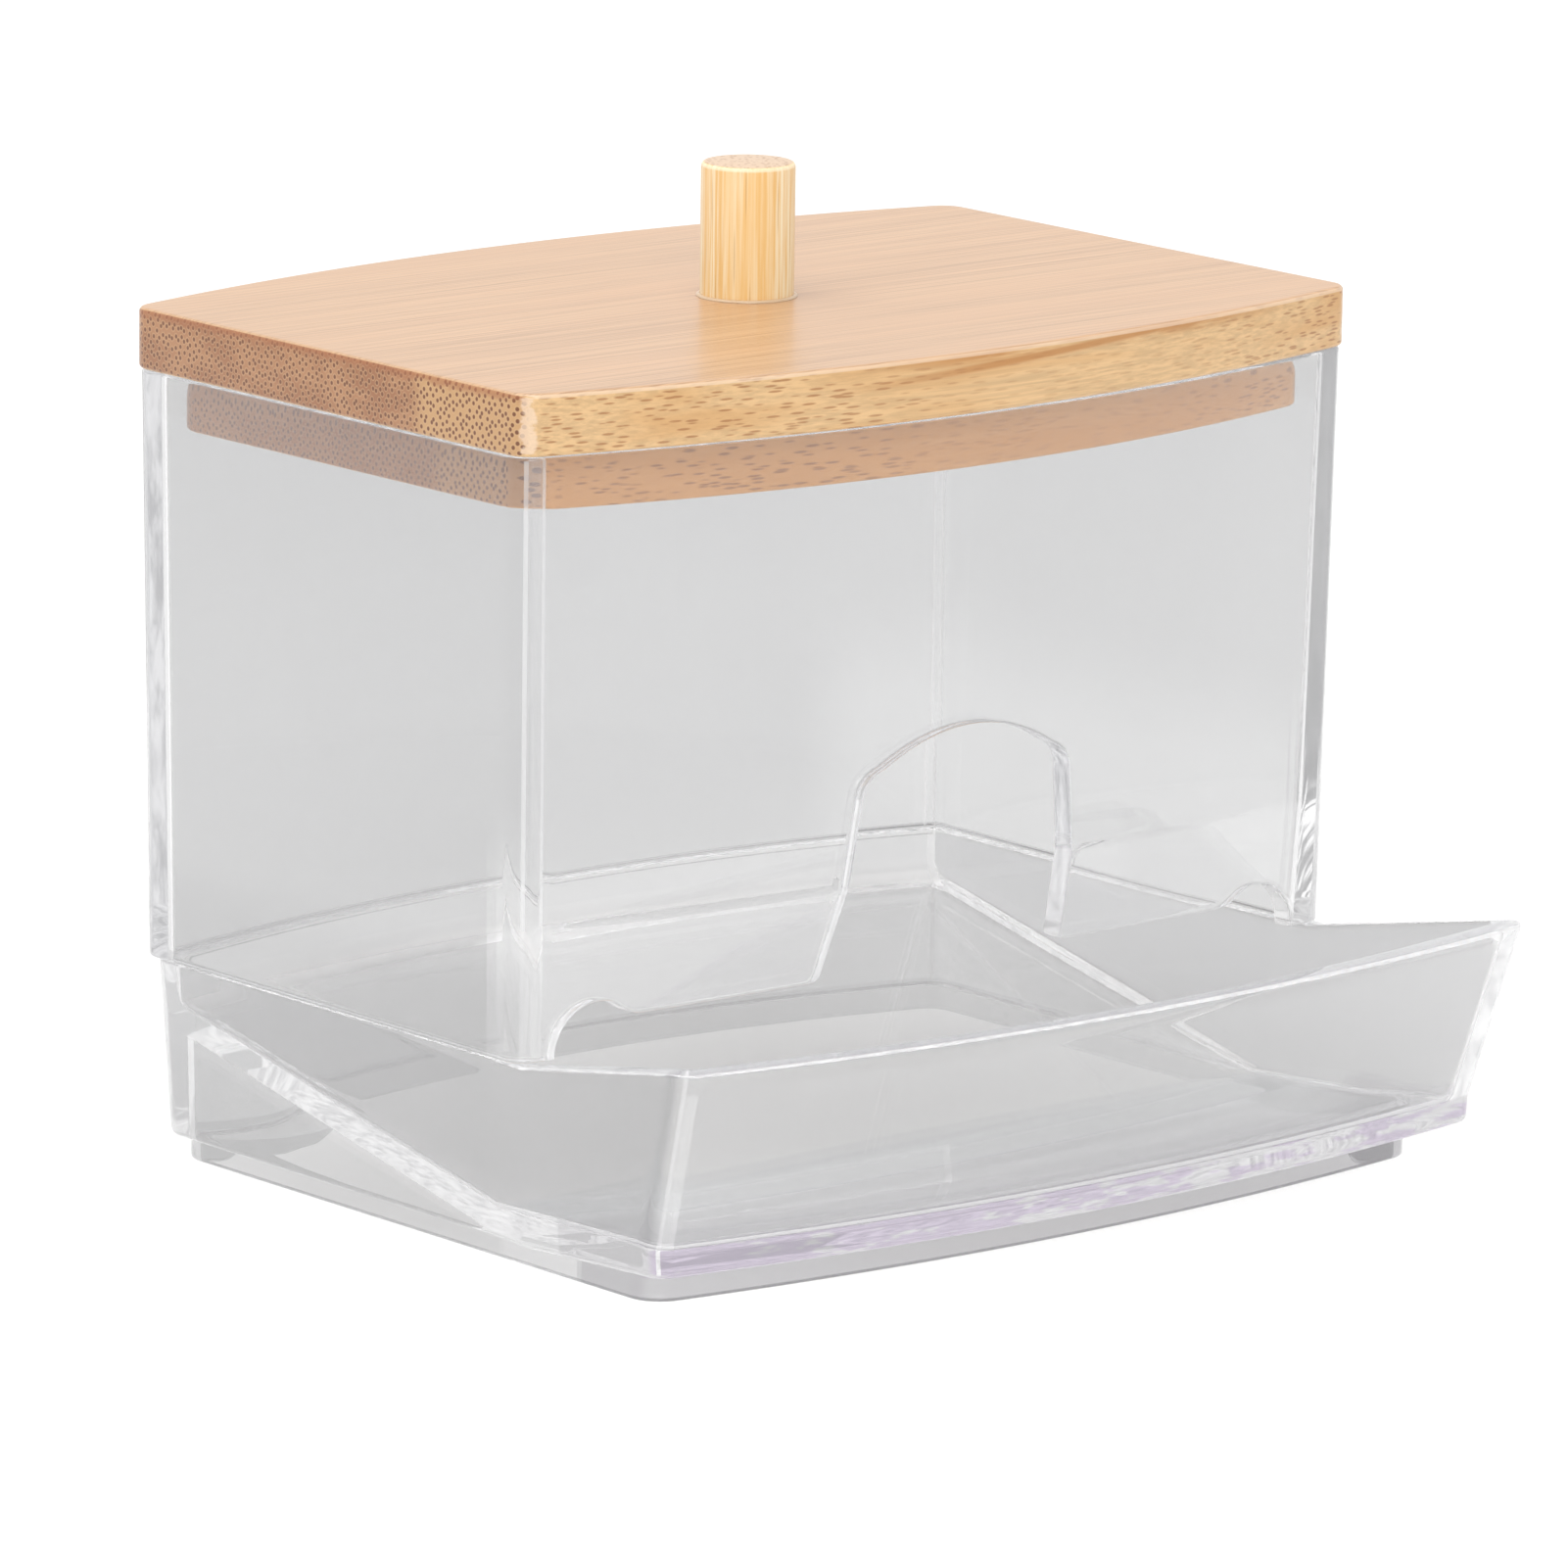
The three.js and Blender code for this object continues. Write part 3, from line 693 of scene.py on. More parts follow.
class Nodes:
    """Adds nodes to a material or a world and joins them."""

    def __init__(self, owner, output="OutputMaterial"):
        owner.use_nodes = True
        self.tree = owner.node_tree
        self.tree.nodes.clear()
        self.output = self.add(output)

    def add(self, kind, settings=None, **inputs):
        made = self.tree.nodes.new("ShaderNode" + kind)
        for name, value in (settings or {}).items():
            setattr(made, name, value)
        for name, value in inputs.items():
            self.set(made, name, value)
        return made

    def set(self, target, name, value):
        place = int(name[1:]) if name[0] == "i" and name[1:].isdigit() else name.replace("_", " ")
        socket = target.inputs[place]
        if isinstance(value, bpy.types.NodeSocket):
            self.tree.links.new(value, socket)
        else:
            socket.default_value = (*value[:3], 1) if socket.type == "RGBA" else value

    def math(self, operation, *values):
        settings = {"operation": operation}
        return self.add("Math", settings, **{f"i{n}": v for n, v in enumerate(values)}).outputs[0]

    def both(self, *values):
        """The product of several shares: 1 where all of them are 1."""
        made = values[0]
        for value in values[1:]:
            made = self.math("MULTIPLY", made, value)
        return made

    def either(self, first, second):
        return self.math("MAXIMUM", first, second)

    def inverse(self, share):
        return self.math("SUBTRACT", 1, share)

    def over(self, value, limit):
        """1 where a value is greater than a limit, 0 elsewhere."""
        return self.math("GREATER_THAN", value, limit)

    def under(self, value, limit):
        """1 where a value is less than a limit, 0 elsewhere."""
        return self.math("LESS_THAN", value, limit)

    def between(self, value, low, high):
        """A smooth step from 0 at low to 1 at high."""
        step = self.add("MapRange", {"interpolation_type": "SMOOTHSTEP"},
                        Value=value, From_Min=low, From_Max=high)
        return step.outputs[0]

    def stepped(self, value, step):
        return self.between(value, *step) if step else value

    def mix(self, share, first, second):
        return self.add("Mix", {"data_type": "RGBA"}, i0=share, i6=first, i7=second).outputs[2]

    def layers(self, colour, *laid_over):
        """A colour over which others are laid, each given after its masks. Its fourth number, if
        it has one, says how strongly it is laid."""
        for *masks, laid in laid_over:
            colour = self.mix(self.both(*masks, *laid[3:]), colour, laid)
        return colour

    def blend(self, share, first, second):
        """A mix of the shaders of two nodes."""
        return self.add("MixShader", i0=share, i1=first.outputs[0], i2=second.outputs[0])

    def bump(self, strength, depth, height):
        """Normals for a relief of a depth in millimetres."""
        return self.add("Bump", Strength=strength, Distance=depth * MILLI, Height=height).outputs[0]

    def finish(self, shader):
        self.set(self.output, "Surface", shader.outputs[0])

    def surface(self, **inputs):
        """Ends with one shader."""
        self.finish(self.add("BsdfPrincipled", **inputs))

    def place(self, sizes):
        """Object coordinates divided by three sizes in millimetres."""
        where = self.add("TexCoord").outputs["Object"]
        scale = [1 / (size * MILLI) for size in sizes]
        return self.add("Mapping", Vector=where, Scale=scale).outputs[0]

    def part(self, kind, axis):
        """One part of the place in the object or of the direction that a face looks in."""
        whole = self.add("TexCoord").outputs[kind]
        return self.add("SeparateXYZ", Vector=whole).outputs["XYZ".index(axis)]

    def local(self, axis):
        return self.part("Object", axis)

    def within(self, value, start, end):
        """A smooth step from one length to another, in millimetres."""
        return self.between(value, start * MILLI, end * MILLI)

    def along(self, axis, start, end):
        return self.within(self.local(axis), start, end)

    def beyond(self, axis, limit):
        return self.over(self.local(axis), limit * MILLI)

    def short_of(self, axis, limit):
        return self.under(self.local(axis), limit * MILLI)

    def facing(self, axis):
        return self.part("Normal", axis)

    def facing_either(self, axis, step=None):
        """How far a face looks along an axis, whichever way."""
        return self.stepped(self.math("ABSOLUTE", self.facing(axis)), step)

    def noise(self, sizes, detail, rough=EVEN, step=None):
        """Soft noise whose patches have three sizes in millimetres."""
        made = self.add("TexNoise", Vector=self.place(sizes), Scale=1, Detail=detail, Roughness=rough)
        return self.stepped(made.outputs[0], step)

    def cells(self, sizes, spread=1, step=None):
        """Distance to scattered points that lie three sizes in millimetres apart."""
        made = self.add("TexVoronoi", Vector=self.place(sizes), Scale=1, Randomness=spread)
        return self.stepped(made.outputs[0], step)


def new_material(name, colour, roughness):
    """A material whose plain colour and roughness stand for it where its nodes do not show."""
    made = bpy.data.materials.new(name)
    made.diffuse_color = (*colour, 1)
    made.roughness = roughness
    return made, Nodes(made)


def scaled(colour, level):
    return tuple(share * level for share in colour)


# Clear plastic: its own faint tint, and tints of its zones, from the walls in front to the far
# ones, which paint shade where they are darker and paint light where they are paler. A fourth
# number in a colour says how strongly it is laid over the others.
BAND_SHARE = 0.7
CLEAR_TINT = (0.93, 0.93, 0.932)
FAINT_TINT_SHARE = 0.985
NEAR_PAINTED_SHADE = (0.84, 0.84, 0.842)
LOW_NEAR_PAINTED_SHADE = (0.77, 0.77, 0.772)
LOW_FRONT_PAINTED_LIGHT = (0.99, 0.99, 0.991)
LOW_RIGHT_PAINTED_SHADE = (0.76, 0.76, 0.762)
FAR_PAINTED_SHADE = (0.56, 0.56, 0.562)
LOW_FAR_PAINTED_SHADE = (0.63, 0.63, 0.632)
SIDE_PAINTED_SHADE = (0.67, 0.67, 0.675)
RIGHT_SIDE_PAINTED_SHADE = (0.54, 0.54, 0.545)
FLOOR_PAINTED_SHADE = (0.66, 0.675, 0.69)
RAMP_PAINTED_SHADE = (0.78, 0.78, 0.782)
UNDER_RAMP_PAINTED_SHADE = (0.72, 0.72, 0.722)
HOLLOW_LEFT_PAINTED_SHADE = (0.61, 0.61, 0.613)
HOLLOW_RIGHT_PAINTED_SHADE = (0.76, 0.76, 0.762)
TRAY_FRONT_PAINTED_LIGHT = (0.91, 0.91, 0.912)
BAND_PAINTED_SHADE = (0.38, 0.37, 0.39, BAND_SHARE)
SHADE_TINT = (0.985, 0.985, 0.986)
# The violet is partly the plastic's own tint and partly painted refraction colour, and it is laid into the
# glow as painted light
VIOLET = (0.3, 0.2, 0.38)

# Its haze, and a painted glow: an emission colour that stands in for the light caught inside it
HAZE = (0.66, 0.66, 0.662)
HIGHLIGHT_HAZE = (0.93, 0.93, 0.932)
CHIN_HIGHLIGHT_SHARE = 0.12
HOPPER_LOOK = dict(glow=((0.5, 0.5, 0.515), (0.86, 0.86, 0.875)), haze_share=0.03)
BASE_LOOK = dict(glow=((0.8, 0.8, 0.81), (1.2, 1.2, 1.2)), haze_share=0.075, far_painted_shade=(0.63, 0.63, 0.633))
# The edge look paints highlight lines with a paler tint and a paler, stronger haze
EDGE_HIGHLIGHT_LOOK = dict(glow=((0.46, 0.45, 0.5), (1, 1, 1)), haze_share=0.3, chin_highlight_share=0.21,
                 tint=(0.96, 0.96, 0.97), haze_colour=HIGHLIGHT_HAZE)
# The darker glows paint shade, and the streak glow paints bright threads of highlight
RIGHT_GLOW_PAINTED_SHADE = (0.4, 0.4, 0.405, 0.85)
STREAK_GLOW = (1.2, 1.2, 1.2)
UNDER_RAMP_GLOW_PAINTED_SHADE = (0.7, 0.7, 0.705)
BAND_GLOW_PAINTED_SHADE = (0.7, 0.69, 0.72, BAND_SHARE)

# Where its zones lie in the frame of the CAD model
BAND_TOP = 6.4
BAND_START = -22
VIOLET_START = 12
VIOLET_END = -20
LOW_FAR_START = 31
LOW_FAR_END = 41
LOW_NEAR_TOP = 12
LOW_NEAR_END = 4
CHIN_BLEND = 0.5
RIGHT_START = 44.5
RIGHT_STREAKS_TOP = 35
RIGHT_STREAKS_BLEND = 5

# Its patterns, with sizes in millimetres, and where a step from 0 to 1 starts and ends
SWIRL = dict(sizes=(22, 22, 34), detail=2, step=(0.3, 0.7))
STREAKS = dict(sizes=(1.6, 1.6, 5), detail=3, rough=0.65, step=(0.34, 0.62))
HIGHLIGHT_THREADS = dict(sizes=(0.4, 0.4, 4), detail=2, step=(0.44, 0.6))
RIPPLES = dict(sizes=(30, 30, 30), detail=1)
VIOLETS = dict(sizes=(4.5, 30, 0.9), detail=3, rough=0.6)
VIOLET_STEP = (0.46, 0.57)
VIOLET_GAIN_SHARE = 0.12
WALL_STEP = (0.25, 0.6)
SIDE_STEP = (0.5, 0.8)
LEVEL_STEP = (0.9, 0.96)
SLOPE_STEP = (0.5, 0.7)

# Its optics, and the number of surfaces and reflections after which light counts as caught and
# the painted glow takes over
PLAIN_ROUGHNESS = 0.05
RIPPLE_DEPTH = 0.3
RIPPLE_STRENGTH = 0.02
PLASTIC_INDEX = 1.57
PLASTIC_ROUGHNESS = 0.0
MOST_SURFACES = 9
MOST_REFLECTIONS = 2


def far_wall(nodes, axis):
    """1 on both faces of the wall at the far end of an axis, 0 elsewhere."""
    faces = nodes.facing_either(axis, WALL_STEP)
    return nodes.both(faces, nodes.beyond(axis, LID_DEPTH / 2))


def hopper_zones(nodes, masks, tinted, shine):
    """The hopper's front and left walls and far corner take painted shade and painted light low
    down, and its right front corner takes painted shade in its tint and its glow, with painted
    highlight threads of brighter glow below."""
    left, far, aside = masks
    front = nodes.short_of("Y", -LID_SHIFT)
    low = nodes.along("Z", SEAM_HEIGHT + ARCH_HEIGHT, SEAM_HEIGHT + CHIN_HEIGHT)
    corner = nodes.along("X", LOW_FAR_START, LOW_FAR_END)
    near = nodes.along("Z", SEAM_HEIGHT + LOW_NEAR_TOP, SEAM_HEIGHT + LOW_NEAR_END)
    right = nodes.beyond("X", RIGHT_START)
    tinted = nodes.layers(
        tinted,
        (front, low, left, LOW_FRONT_PAINTED_LIGHT),
        (far, low, corner, LOW_FAR_PAINTED_SHADE),
        (aside, left, near, LOW_NEAR_PAINTED_SHADE),
        (right, front, low, LOW_RIGHT_PAINTED_SHADE),
    )
    lower = nodes.along("Z", RIGHT_STREAKS_TOP, RIGHT_STREAKS_TOP - RIGHT_STREAKS_BLEND)
    highlight_threads = nodes.noise(**HIGHLIGHT_THREADS)
    shine = nodes.layers(shine, (right, RIGHT_GLOW_PAINTED_SHADE), (right, lower, highlight_threads, STREAK_GLOW))
    return tinted, shine


def base_zones(nodes, masks, tinted, shine):
    """The base's floor, ramp, hollow and right side take painted shade and its front painted light,
    one by one; the hollow and the band below its front edge also take painted shade in the glow,
    and the band has violet patches, partly the plastic's own violet tint and partly painted
    refraction colour, in its tint and its glow."""
    left, aside = masks
    right = nodes.inverse(left)
    upright = nodes.facing_either("Y", WALL_STEP)
    level = nodes.facing_either("Z", LEVEL_STEP)
    slope = nodes.facing_either("Z", SLOPE_STEP)
    before = nodes.short_of("Y", LID_SHIFT - CREASE_REACH)
    behind = nodes.inverse(before)
    ahead = nodes.short_of("Y", BAND_START)
    climb = (RAMP_REAR_HEIGHT - FLOOR_THICKNESS - FOOT_HEIGHT) / (BASE_HALF_DEPTH + CREASE_REACH)
    start = FOOT_HEIGHT + climb * (CREASE_REACH - LID_SHIFT)
    ramp_line = nodes.math("MULTIPLY_ADD", nodes.local("Y"), climb, start * MILLI)
    hollow = nodes.both(nodes.under(nodes.local("Z"), ramp_line), behind)
    low = nodes.short_of("Z", RAMP_REAR_HEIGHT - FLOOR_THICKNESS)
    band = nodes.both(nodes.short_of("Z", BAND_TOP), ahead)
    leftward = nodes.along("X", VIOLET_START, VIOLET_END)
    spots = nodes.math("ADD", nodes.noise(**VIOLETS), nodes.both(leftward, VIOLET_GAIN_SHARE))
    above = nodes.both(nodes.beyond("Z", FOOT_HEIGHT), upright)
    violet = nodes.both(band, above, nodes.between(spots, *VIOLET_STEP))
    tinted = nodes.layers(
        tinted,
        (aside, right, RIGHT_SIDE_PAINTED_SHADE),
        (level, before, FLOOR_PAINTED_SHADE),
        (slope, behind, RAMP_PAINTED_SHADE),
        (ahead, upright, TRAY_FRONT_PAINTED_LIGHT),
        (hollow, left, aside, HOLLOW_LEFT_PAINTED_SHADE),
        (hollow, right, aside, HOLLOW_RIGHT_PAINTED_SHADE),
        (low, behind, upright, UNDER_RAMP_PAINTED_SHADE),
        (band, BAND_PAINTED_SHADE),
        (violet, BAND_SHARE, VIOLET),
    )
    shine = nodes.layers(
        shine,
        (hollow, left, UNDER_RAMP_GLOW_PAINTED_SHADE),
        (band, BAND_GLOW_PAINTED_SHADE),
        (violet, VIOLET),
    )
    return tinted, shine


def clear_material(name, glow, haze_share, tint=CLEAR_TINT, far_painted_shade=FAR_PAINTED_SHADE, haze_colour=HAZE,
                   chin_highlight_share=CHIN_HIGHLIGHT_SHARE, of_base=False):
    """Clear moulded plastic, with painted shade and painted light in its zones. Where light is
    caught inside it, a painted glow, an emission colour, takes its place.
    """
    made, nodes = new_material(name, tint, PLAIN_ROUGHNESS)
    left = nodes.short_of("X", 0)
    aside = nodes.facing_either("X", SIDE_STEP)
    far = nodes.either(far_wall(nodes, "X"), far_wall(nodes, "Y"))
    tinted = nodes.layers(
        nodes.mix(nodes.noise(**SWIRL), scaled(tint, FAINT_TINT_SHARE), tint),
        (far, far_painted_shade),
        (aside, left, SIDE_PAINTED_SHADE if of_base else NEAR_PAINTED_SHADE),
    )
    shine = nodes.mix(nodes.noise(**STREAKS), *glow)
    if of_base:
        tinted, shine = base_zones(nodes, (left, aside), tinted, shine)
        share, milk = haze_share, haze_colour
    else:
        tinted, shine = hopper_zones(nodes, (left, far, aside), tinted, shine)
        # A paler, stronger haze along the chin's bend paints a highlight line
        chin_top = SEAM_HEIGHT + CHIN_HEIGHT
        chin = nodes.along("Z", chin_top + CHIN_BLEND, chin_top - CHIN_BLEND)
        chin = nodes.both(chin, nodes.short_of("Y", -LID_SHIFT))
        share = nodes.math("MULTIPLY_ADD", chin, chin_highlight_share - haze_share, haze_share)
        milk = nodes.mix(chin, haze_colour, HIGHLIGHT_HAZE)
    bump = nodes.bump(RIPPLE_STRENGTH, RIPPLE_DEPTH, nodes.noise(**RIPPLES))
    glass = nodes.add("BsdfPrincipled", Base_Color=tinted, Transmission_Weight=1,
                      IOR=PLASTIC_INDEX, Roughness=PLASTIC_ROUGHNESS, Normal=bump)
    haze = nodes.add("BsdfDiffuse", Color=milk)
    shade = nodes.add("BsdfTransparent", Color=SHADE_TINT)
    gleam = nodes.add("Emission", Color=shine, Strength=1)
    path = nodes.add("LightPath").outputs
    soft = nodes.either(path["Is Shadow Ray"], path["Is Diffuse Ray"])
    caught = nodes.either(nodes.over(path["Ray Depth"], MOST_SURFACES),
                          nodes.over(path["Glossy Depth"], MOST_REFLECTIONS))
    hazy = nodes.blend(share, glass, haze)
    nodes.finish(nodes.blend(caught, nodes.blend(soft, hazy, shade), gleam))
    return made


# Bamboo board: its colours. The fourth number says how strongly one is laid over the others.
BOARD_PLAIN = (0.62, 0.385, 0.2)
FRONT_LIGHT = (0.71, 0.46, 0.225)
FRONT_LEVELS = (0.82, 1.04)
FRONT_WARM = (0.6, 0.33, 0.125, 0.8)
FRONT_STREAK = (0.45, 0.19, 0.045, 0.8)
FRONT_DASH = (0.33, 0.13, 0.035, 0.72)
# Painted shade: the plug below the flange is darker and redder, and so are its dashes
PLUG_PAINTED_SHADE = (0.53, 0.21, 0.035, 0.75)
PLUG_DASH_PAINTED_SHADE = (0.2, 0.07, 0.02, 0.6)
TOP_PALE = (0.63, 0.39, 0.215)
TOP_TAN = (0.38, 0.205, 0.1)
TOP_BROAD = (0.62, 0.36, 0.19, 0.35)
TOP_PORE = (0.36, 0.18, 0.08, 0.28)
END_DARK = (0.31, 0.13, 0.055)
END_LIGHT = (0.41, 0.2, 0.092)
END_STRIP = (0.52, 0.3, 0.135)
END_RING = (0.66, 0.42, 0.22)
# Painted shade on the plug's ends
END_PLUG_PAINTED_SHADE = (0.3, 0.1, 0.02, 0.5)
END_DOT = (0.17, 0.06, 0.022)
END_SCORCH = (0.34, 0.12, 0.045, 0.6)
# Painted highlight on the rounded corners and the upper edges
PAINTED_EDGE_HIGHLIGHT = (0.82, 0.63, 0.47)
SEEN_BY_BOUNCE = (0.56, 0.55, 0.54, 0.85)

# The orange streak along its front edge, the pale strip in front and the scorched upper edge. A
# fade says how many times less than its outer length the length is at which a part is whole.
STREAK_MIDDLE = 12
STREAK_REACH = 34
STREAK_DEPTH = 1.5
STREAK_SLOPE = 0.05
STREAK_BRANCH = 0.8
STREAK_HALF = 0.55
STREAK_FADE = 3
LONG_FADE = 4
STRIP_WIDTH = 16.7
STRIP_BLEND = 3
SCORCH_DEPTH = 0.1
SCORCH_SPREAD = 1.2
SCORCH_BLEND = 0.3

# Its patterns, with sizes along the board, across it and upright
FIBRES = dict(sizes=(34, 0.34, 0.34), detail=4, rough=0.65)
FIBRE_STEP = (0.34, 0.66)
TONES = dict(sizes=(46, 5, 4.2), detail=2, rough=0.6, step=(0.42, 0.66))
WISPS = dict(sizes=(13, 3, 0.7), detail=3, rough=0.6, step=(0.36, 0.54))
PATCHES = dict(sizes=(14, 9, 3.4), detail=2, rough=0.6, step=(0.24, 0.46))
DASHES = dict(sizes=(2.9, 0.62, 0.36), spread=0.9, step=(0.4, 0.2))
DASH_FREE_SHARE = 0.7
STRIPES = dict(sizes=(60, 0.26, 3), detail=5, rough=0.75)
STRIPE_STEP = (0.32, 0.62)
BROAD_STRIPES = dict(sizes=(90, 8, 8), detail=2, rough=0.6, step=(0.4, 0.65))
PORES = dict(sizes=(11, 0.42, 3), step=(0.24, 0.08))
GROUND = dict(sizes=(60, 7, 3), detail=2, rough=0.6, step=(0.35, 0.65))
HIGHLIGHT_BREAKS = dict(sizes=(1.2, 1.2, 0.8), detail=3, rough=0.6)
HIGHLIGHT_BREAK_SPREAD = 0.24
SCORCH = dict(sizes=(1, 2.6, 1), detail=2, rough=0.6)
DOT_SIZES = (1, 0.94, 1.02)
DOT_STEP = (0.37, 0.2)
RING_STEP = (0.34, 0.5)
RING_SHARE = 0.4

# Its edges: where its faces part, and how strongly the corners and the upper edges take a
# painted highlight
END_STEP = (0.66, 0.78)
TOP_STEP = (0.6, 0.85)
SAWN_STEP = (0.45, 0.6)
CORNER_STEP = (0.4, 0.48)
CORNER_HIGHLIGHT_SHARE = 0.6
ARRIS_STEP = (0.11, 0.2)
ARRIS_HIGHLIGHT_SHARE = 0.5

# Its surface: the gain and the least of the roughness, the coat, the grain, and the number of
# bounces above which light sees it grey
WOOD_ROUGHNESS = 0.4
BOARD_ROUGHNESS = (0.14, 0.28)
COAT_SHARE = 0.17
COAT_ROUGHNESS = 0.15
GRAIN_STRENGTH = 0.25
GRAIN_DEPTH = 0.05
HALF_BOUNCE = 0.5


def end_dots(nodes):
    """Staggered rows of dots on the ends of the board, each seen whole."""
    parts = nodes.add("SeparateXYZ", Vector=nodes.place(DOT_SIZES)).outputs
    plus = nodes.math("ADD", parts["Y"], parts["Z"])
    minus = nodes.math("SUBTRACT", parts["Y"], parts["Z"])
    flat = nodes.add("CombineXYZ", X=plus, Y=minus).outputs[0]
    return nodes.add("TexVoronoi", {"voronoi_dimensions": "2D"}, Vector=flat, Scale=1,
                     Randomness=EVEN).outputs[0]


def board_front(nodes, fine, depth, plug):
    """Colour of the long edges, with their orange streak and the painted shade on the plug, and
    where their dark dashes lie.
    """
    along = nodes.math("SUBTRACT", nodes.local("X"), STREAK_MIDDLE * MILLI)
    away = nodes.math("ABSOLUTE", along)
    reach = nodes.within(away, STREAK_REACH, STREAK_REACH / STREAK_FADE)
    slanted = nodes.math("MULTIPLY_ADD", along, STREAK_SLOPE, depth)
    branch = nodes.math("ABSOLUTE", nodes.math("SUBTRACT", slanted, STREAK_BRANCH * MILLI))
    branch = nodes.within(branch, STREAK_HALF, STREAK_HALF / LONG_FADE)
    border = nodes.within(depth, STREAK_DEPTH, STREAK_DEPTH / STREAK_FADE)
    streak = nodes.both(reach, nodes.either(nodes.both(border, nodes.noise(**WISPS)), branch))
    plain = nodes.within(away, STREAK_REACH, STREAK_REACH / LONG_FADE)
    dash = nodes.both(nodes.cells(**DASHES), nodes.noise(**PATCHES))
    dash = nodes.both(dash, nodes.inverse(nodes.both(plain, DASH_FREE_SHARE)))
    dark, light = (scaled(FRONT_LIGHT, level) for level in FRONT_LEVELS)
    front = nodes.layers(
        nodes.mix(nodes.between(fine, *FIBRE_STEP), dark, light),
        (nodes.noise(**TONES), FRONT_WARM),
        (streak, FRONT_STREAK),
        (dash, FRONT_DASH),
        (plug, PLUG_PAINTED_SHADE),
        (dash, plug, PLUG_DASH_PAINTED_SHADE),
    )
    return front, dash


def board_top(nodes, stripes):
    """Colour of the top, with fine stripes and pores."""
    return nodes.layers(
        nodes.mix(nodes.between(stripes, *STRIPE_STEP), TOP_TAN, TOP_PALE),
        (nodes.noise(**BROAD_STRIPES), TOP_BROAD),
        (nodes.cells(**PORES), TOP_PORE),
    )


def board_end(nodes, depth, plug):
    """Colour of the short edges: dark dots with pale rings, a pale strip, a scorched edge and
    painted shade on the plug.
    """
    strip_end = LID_SHIFT - LID_DEPTH / 2 + STRIP_WIDTH
    strip = nodes.along("Y", strip_end, strip_end - STRIP_BLEND)
    spots = end_dots(nodes)
    ground = nodes.layers(nodes.mix(nodes.noise(**GROUND), END_DARK, END_LIGHT), (strip, END_STRIP))
    scorch = nodes.math("MULTIPLY_ADD", nodes.noise(**SCORCH), SCORCH_SPREAD * MILLI, SCORCH_DEPTH * MILLI)
    scorch = nodes.within(nodes.math("SUBTRACT", depth, scorch), SCORCH_BLEND, -SCORCH_BLEND)
    return nodes.layers(
        nodes.mix(nodes.between(spots, *RING_STEP), nodes.mix(RING_SHARE, ground, END_RING), ground),
        (plug, END_PLUG_PAINTED_SHADE),
        (nodes.between(spots, *DOT_STEP), END_DOT),
        (scorch, END_SCORCH),
    )


def arris_of(nodes, upward):
    """1 along the rounded upper edge, 0 elsewhere."""
    return nodes.between(nodes.both(upward, nodes.inverse(upward)), *ARRIS_STEP)


def board_material():
    """Bamboo strips pressed into a board: fine fibres and dark bundles that run along it. Light
    that bounces sees it grey, so that the clear walls and the floor take no tint from it."""
    made, nodes = new_material("bamboo_board_wood", BOARD_PLAIN, WOOD_ROUGHNESS)
    across = nodes.facing_either("X")
    upward = nodes.facing("Z")
    depth = nodes.math("SUBTRACT", LID_TOP * MILLI, nodes.local("Z"))
    plug = nodes.along("Z", HOPPER_TOP + SEAT_GAP, HOPPER_TOP - SEAT_GAP)
    fine = nodes.noise(**FIBRES)
    stripes = nodes.noise(**STRIPES)
    front, dash = board_front(nodes, fine, depth, plug)
    colour = nodes.mix(nodes.between(upward, *TOP_STEP), front, board_top(nodes, stripes))
    colour = nodes.mix(nodes.between(across, *END_STEP), colour, board_end(nodes, depth, plug))

    # Painted highlight on the rounded corners and the upper edge, broken up by noise and kept off the plug
    # and the sawn ends
    highlight_breaks = nodes.math("MULTIPLY_ADD", nodes.noise(**HIGHLIGHT_BREAKS), HIGHLIGHT_BREAK_SPREAD, -HIGHLIGHT_BREAK_SPREAD / 2)
    corner = nodes.math("ADD", nodes.both(across, nodes.facing_either("Y")), highlight_breaks)
    corner = nodes.between(corner, *CORNER_STEP)
    highlit = nodes.either(nodes.both(corner, CORNER_HIGHLIGHT_SHARE), nodes.both(arris_of(nodes, upward), ARRIS_HIGHLIGHT_SHARE))
    sawn = nodes.both(nodes.between(across, *SAWN_STEP), nodes.inverse(corner))
    highlit = nodes.both(highlit, nodes.inverse(plug), nodes.inverse(sawn))
    path = nodes.add("LightPath").outputs
    bounced = nodes.either(nodes.over(path["Glossy Depth"], HALF_BOUNCE), path["Is Diffuse Ray"])
    nodes.surface(
        Base_Color=nodes.layers(colour, (highlit, PAINTED_EDGE_HIGHLIGHT), (bounced, SEEN_BY_BOUNCE)),
        Roughness=nodes.math("MULTIPLY_ADD", stripes, *BOARD_ROUGHNESS),
        Normal=nodes.bump(GRAIN_STRENGTH, GRAIN_DEPTH, nodes.math("SUBTRACT", fine, dash)),
        Coat_Weight=COAT_SHARE,
        Coat_Roughness=COAT_ROUGHNESS,
    )
    return made


# Dowel and glue: their colours, patterns and surfaces
DOWEL_PLAIN = (0.84, 0.56, 0.26)
DOWEL_ORANGE = (0.82, 0.48, 0.17)
DOWEL_PALE = (0.94, 0.77, 0.52)
DOWEL_BROAD = (0.88, 0.52, 0.18, 0.55)
DOWEL_LINE = (0.5, 0.25, 0.07, 0.42)
DOWEL_END_LIGHT = (0.66, 0.48, 0.33)
DOWEL_END_PORE = (0.42, 0.25, 0.14)
